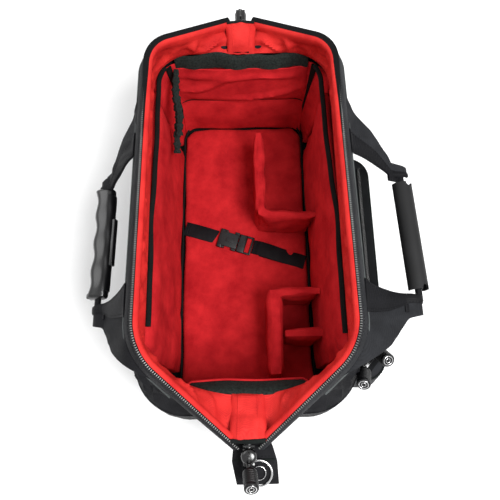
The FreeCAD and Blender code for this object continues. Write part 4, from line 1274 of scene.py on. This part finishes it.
def make_holding_strap():
    long = math.hypot(STRAP_ENDS[1][0] - STRAP_ENDS[0][0], STRAP_ENDS[1][1] - STRAP_ENDS[0][1])
    left = [strap_solid([1, 20, 45, 61], [2.4, 4.6, 4.2, 3.2], 25, 1.7)]
    left += laid_blocks([(5.2, 6.8, -10, 10, 3.6, 4.6, 0.4), (9.2, 10.8, -10, 10, 3.6, 4.6, 0.4)])
    show(gather("holding_strap_left", left), "webbing", "bag", "strap_left")
    right = [
        strap_solid([122.8, 140, 165, 190, long + 1], [3.0, 4.4, 4.8, 3.4, 2.4], 25, 1.7),
        strap_solid([122.8, 135, 150, 166, 180], [5.2, 8.4, 9.4, 8.4, 6.4], 25, 1.7, 0.8),
    ]
    show(gather("holding_strap_right", right), "webbing", "bag", "strap_right")
    socket_start, plug_start = 62.0, 96.0
    socket = [
        (0, 34, -17, 17, 0.3, 2.2, 0.8), (0, 34, -13, 13, 8.0, 9.9, 0.9), (0, 9, -17, 17, 0.4, 9.8, 1.5),
        (8, 13.6, -16.6, -12.8, 0.4, 9.6, 0.9), (8, 13.6, 12.8, 16.6, 0.4, 9.6, 0.9),
        (25.4, 34, -17, -12.9, 0.4, 9.6, 0.9), (25.4, 34, 12.9, 17, 0.4, 9.6, 0.9),
        (13, 27, -4, 4, 9.6, 10.4, 0.3),
    ]
    plug = [
        (0.4, 14.4, -16.5, 16.5, 0.6, 8.4, 1.8), (22.2, 26, -16.5, 16.5, 0.6, 8.2, 1.4),
        (13, 24, -16.5, -13.2, 0.8, 8.0, 1.0), (13, 24, 13.2, 16.5, 0.8, 8.0, 1.0),
        (-22, 3, -1.5, 1.5, 3.3, 6.9, 0.6), (-22, 3, 8.3, 11.5, 3.3, 6.9, 0.8),
        (-22, 3, -11.5, -8.3, 3.3, 6.9, 0.8),
    ]
    plug += [(3, 12, y - 1, y + 1, 8.0, 8.9, 0.35) for y in (-5, 0, 5)]
    socket_body = gather("buckle_socket_body", laid_blocks(socket, socket_start))
    show(socket_body, "buckle_plastic", "bag", "buckle_socket")
    plug_body = gather("buckle_plug_body", laid_blocks(plug, plug_start))
    show(plug_body, "buckle_plastic", "buckle_plug", "buckle_plug")


# ---------------------------------------------------------------- CAD nodes that show, stage, lights, camera

def dress_cad_nodes():
    """Materials for the CAD pieces whose own shape shows."""
    # end_brackets and hinge_pins take the slider's black in place of steel: painted shade, dark like the shaded
    # gap at the hinge where they sit.
    kept = {
        "frame_left": "steel", "frame_right": "steel", "end_brackets": "slider", "hinge_pins": "slider",
        "bracket_rivets": "steel", "base_board": "binding", "handle_grip_right": "grip_rubber",
    }
    for node, slot in kept.items():
        data = nodes[node].data
        data.materials.clear()
        data.materials.append(materials[slot])


def make_stage():
    side = 6.0
    mesh = bpy.data.meshes.new("floor")
    corners = [(-side, -side, 0), (side, -side, 0), (side, side, 0), (-side, side, 0)]
    mesh.from_pydata(corners, [], [(0, 1, 2, 3)])
    floor = bpy.data.objects.new("floor", mesh)
    bpy.context.scene.collection.objects.link(floor)
    pale = surface("floor_paint", (250, 250, 250), (247, 247, 247), 0.9, 200.0, 0.02)
    floor.data.materials.append(pale)


def add_light(name, place, aim, size, power):
    data = bpy.data.lights.new(name, "AREA")
    data.shape = "DISK"
    data.size = size
    data.energy = power
    lamp = bpy.data.objects.new(name, data)
    lamp.location = place
    lamp.rotation_mode = "QUATERNION"
    lamp.rotation_quaternion = (Vector(aim) - Vector(place)).to_track_quat("-Z", "Y")
    bpy.context.scene.collection.objects.link(lamp)


def make_lights():
    scene = bpy.context.scene
    scene.view_settings.view_transform = "Standard"
    world = bpy.data.worlds.new("studio")
    scene.world = world
    world.use_nodes = True
    world.node_tree.nodes["Background"].inputs["Color"].default_value = (1, 1, 1, 1)
    world.node_tree.nodes["Background"].inputs["Strength"].default_value = 0.72
    add_light("key", (0.8, -0.75, 2.0), (0, 0, 0.1), 1.0, 56)
    add_light("fill", (-1.5, 0.8, 1.6), (0, 0, 0.1), 1.6, 14)


def make_camera():
    """Above and a little in front, looking down at 18 degrees off the vertical."""
    data = bpy.data.cameras.new("camera")
    data.sensor_fit = "HORIZONTAL"
    data.sensor_width = 36.0
    data.lens = 40.3
    camera = bpy.data.objects.new("camera", data)
    camera.location = (0.0019, -0.2931, 0.933)
    camera.rotation_euler = (math.radians(18), 0, math.radians(-1.2))
    bpy.context.scene.collection.objects.link(camera)
    bpy.context.scene.camera = camera


make_camera()
make_lights()
make_stage()
dress_pads(make_pads())
make_shell()
make_lining()
make_upper_walls()
for mouth_side in SIDES:
    make_rim(mouth_side)
make_end_panels()
make_hems()
make_bindings()
pocket_panels = {end: make_end_pocket(end) for end in ("near", "far")}
make_elastics(pocket_panels)
make_corner_strap()
make_zip_ends()
make_tab()
make_side_pocket()
make_pocket_zip()
for handle_side in SIDES:
    for wing_end in WINGS:
        make_wing(handle_side, wing_end)
    make_core(handle_side)
make_finger_grip()
make_holding_strap()
dress_cad_nodes()
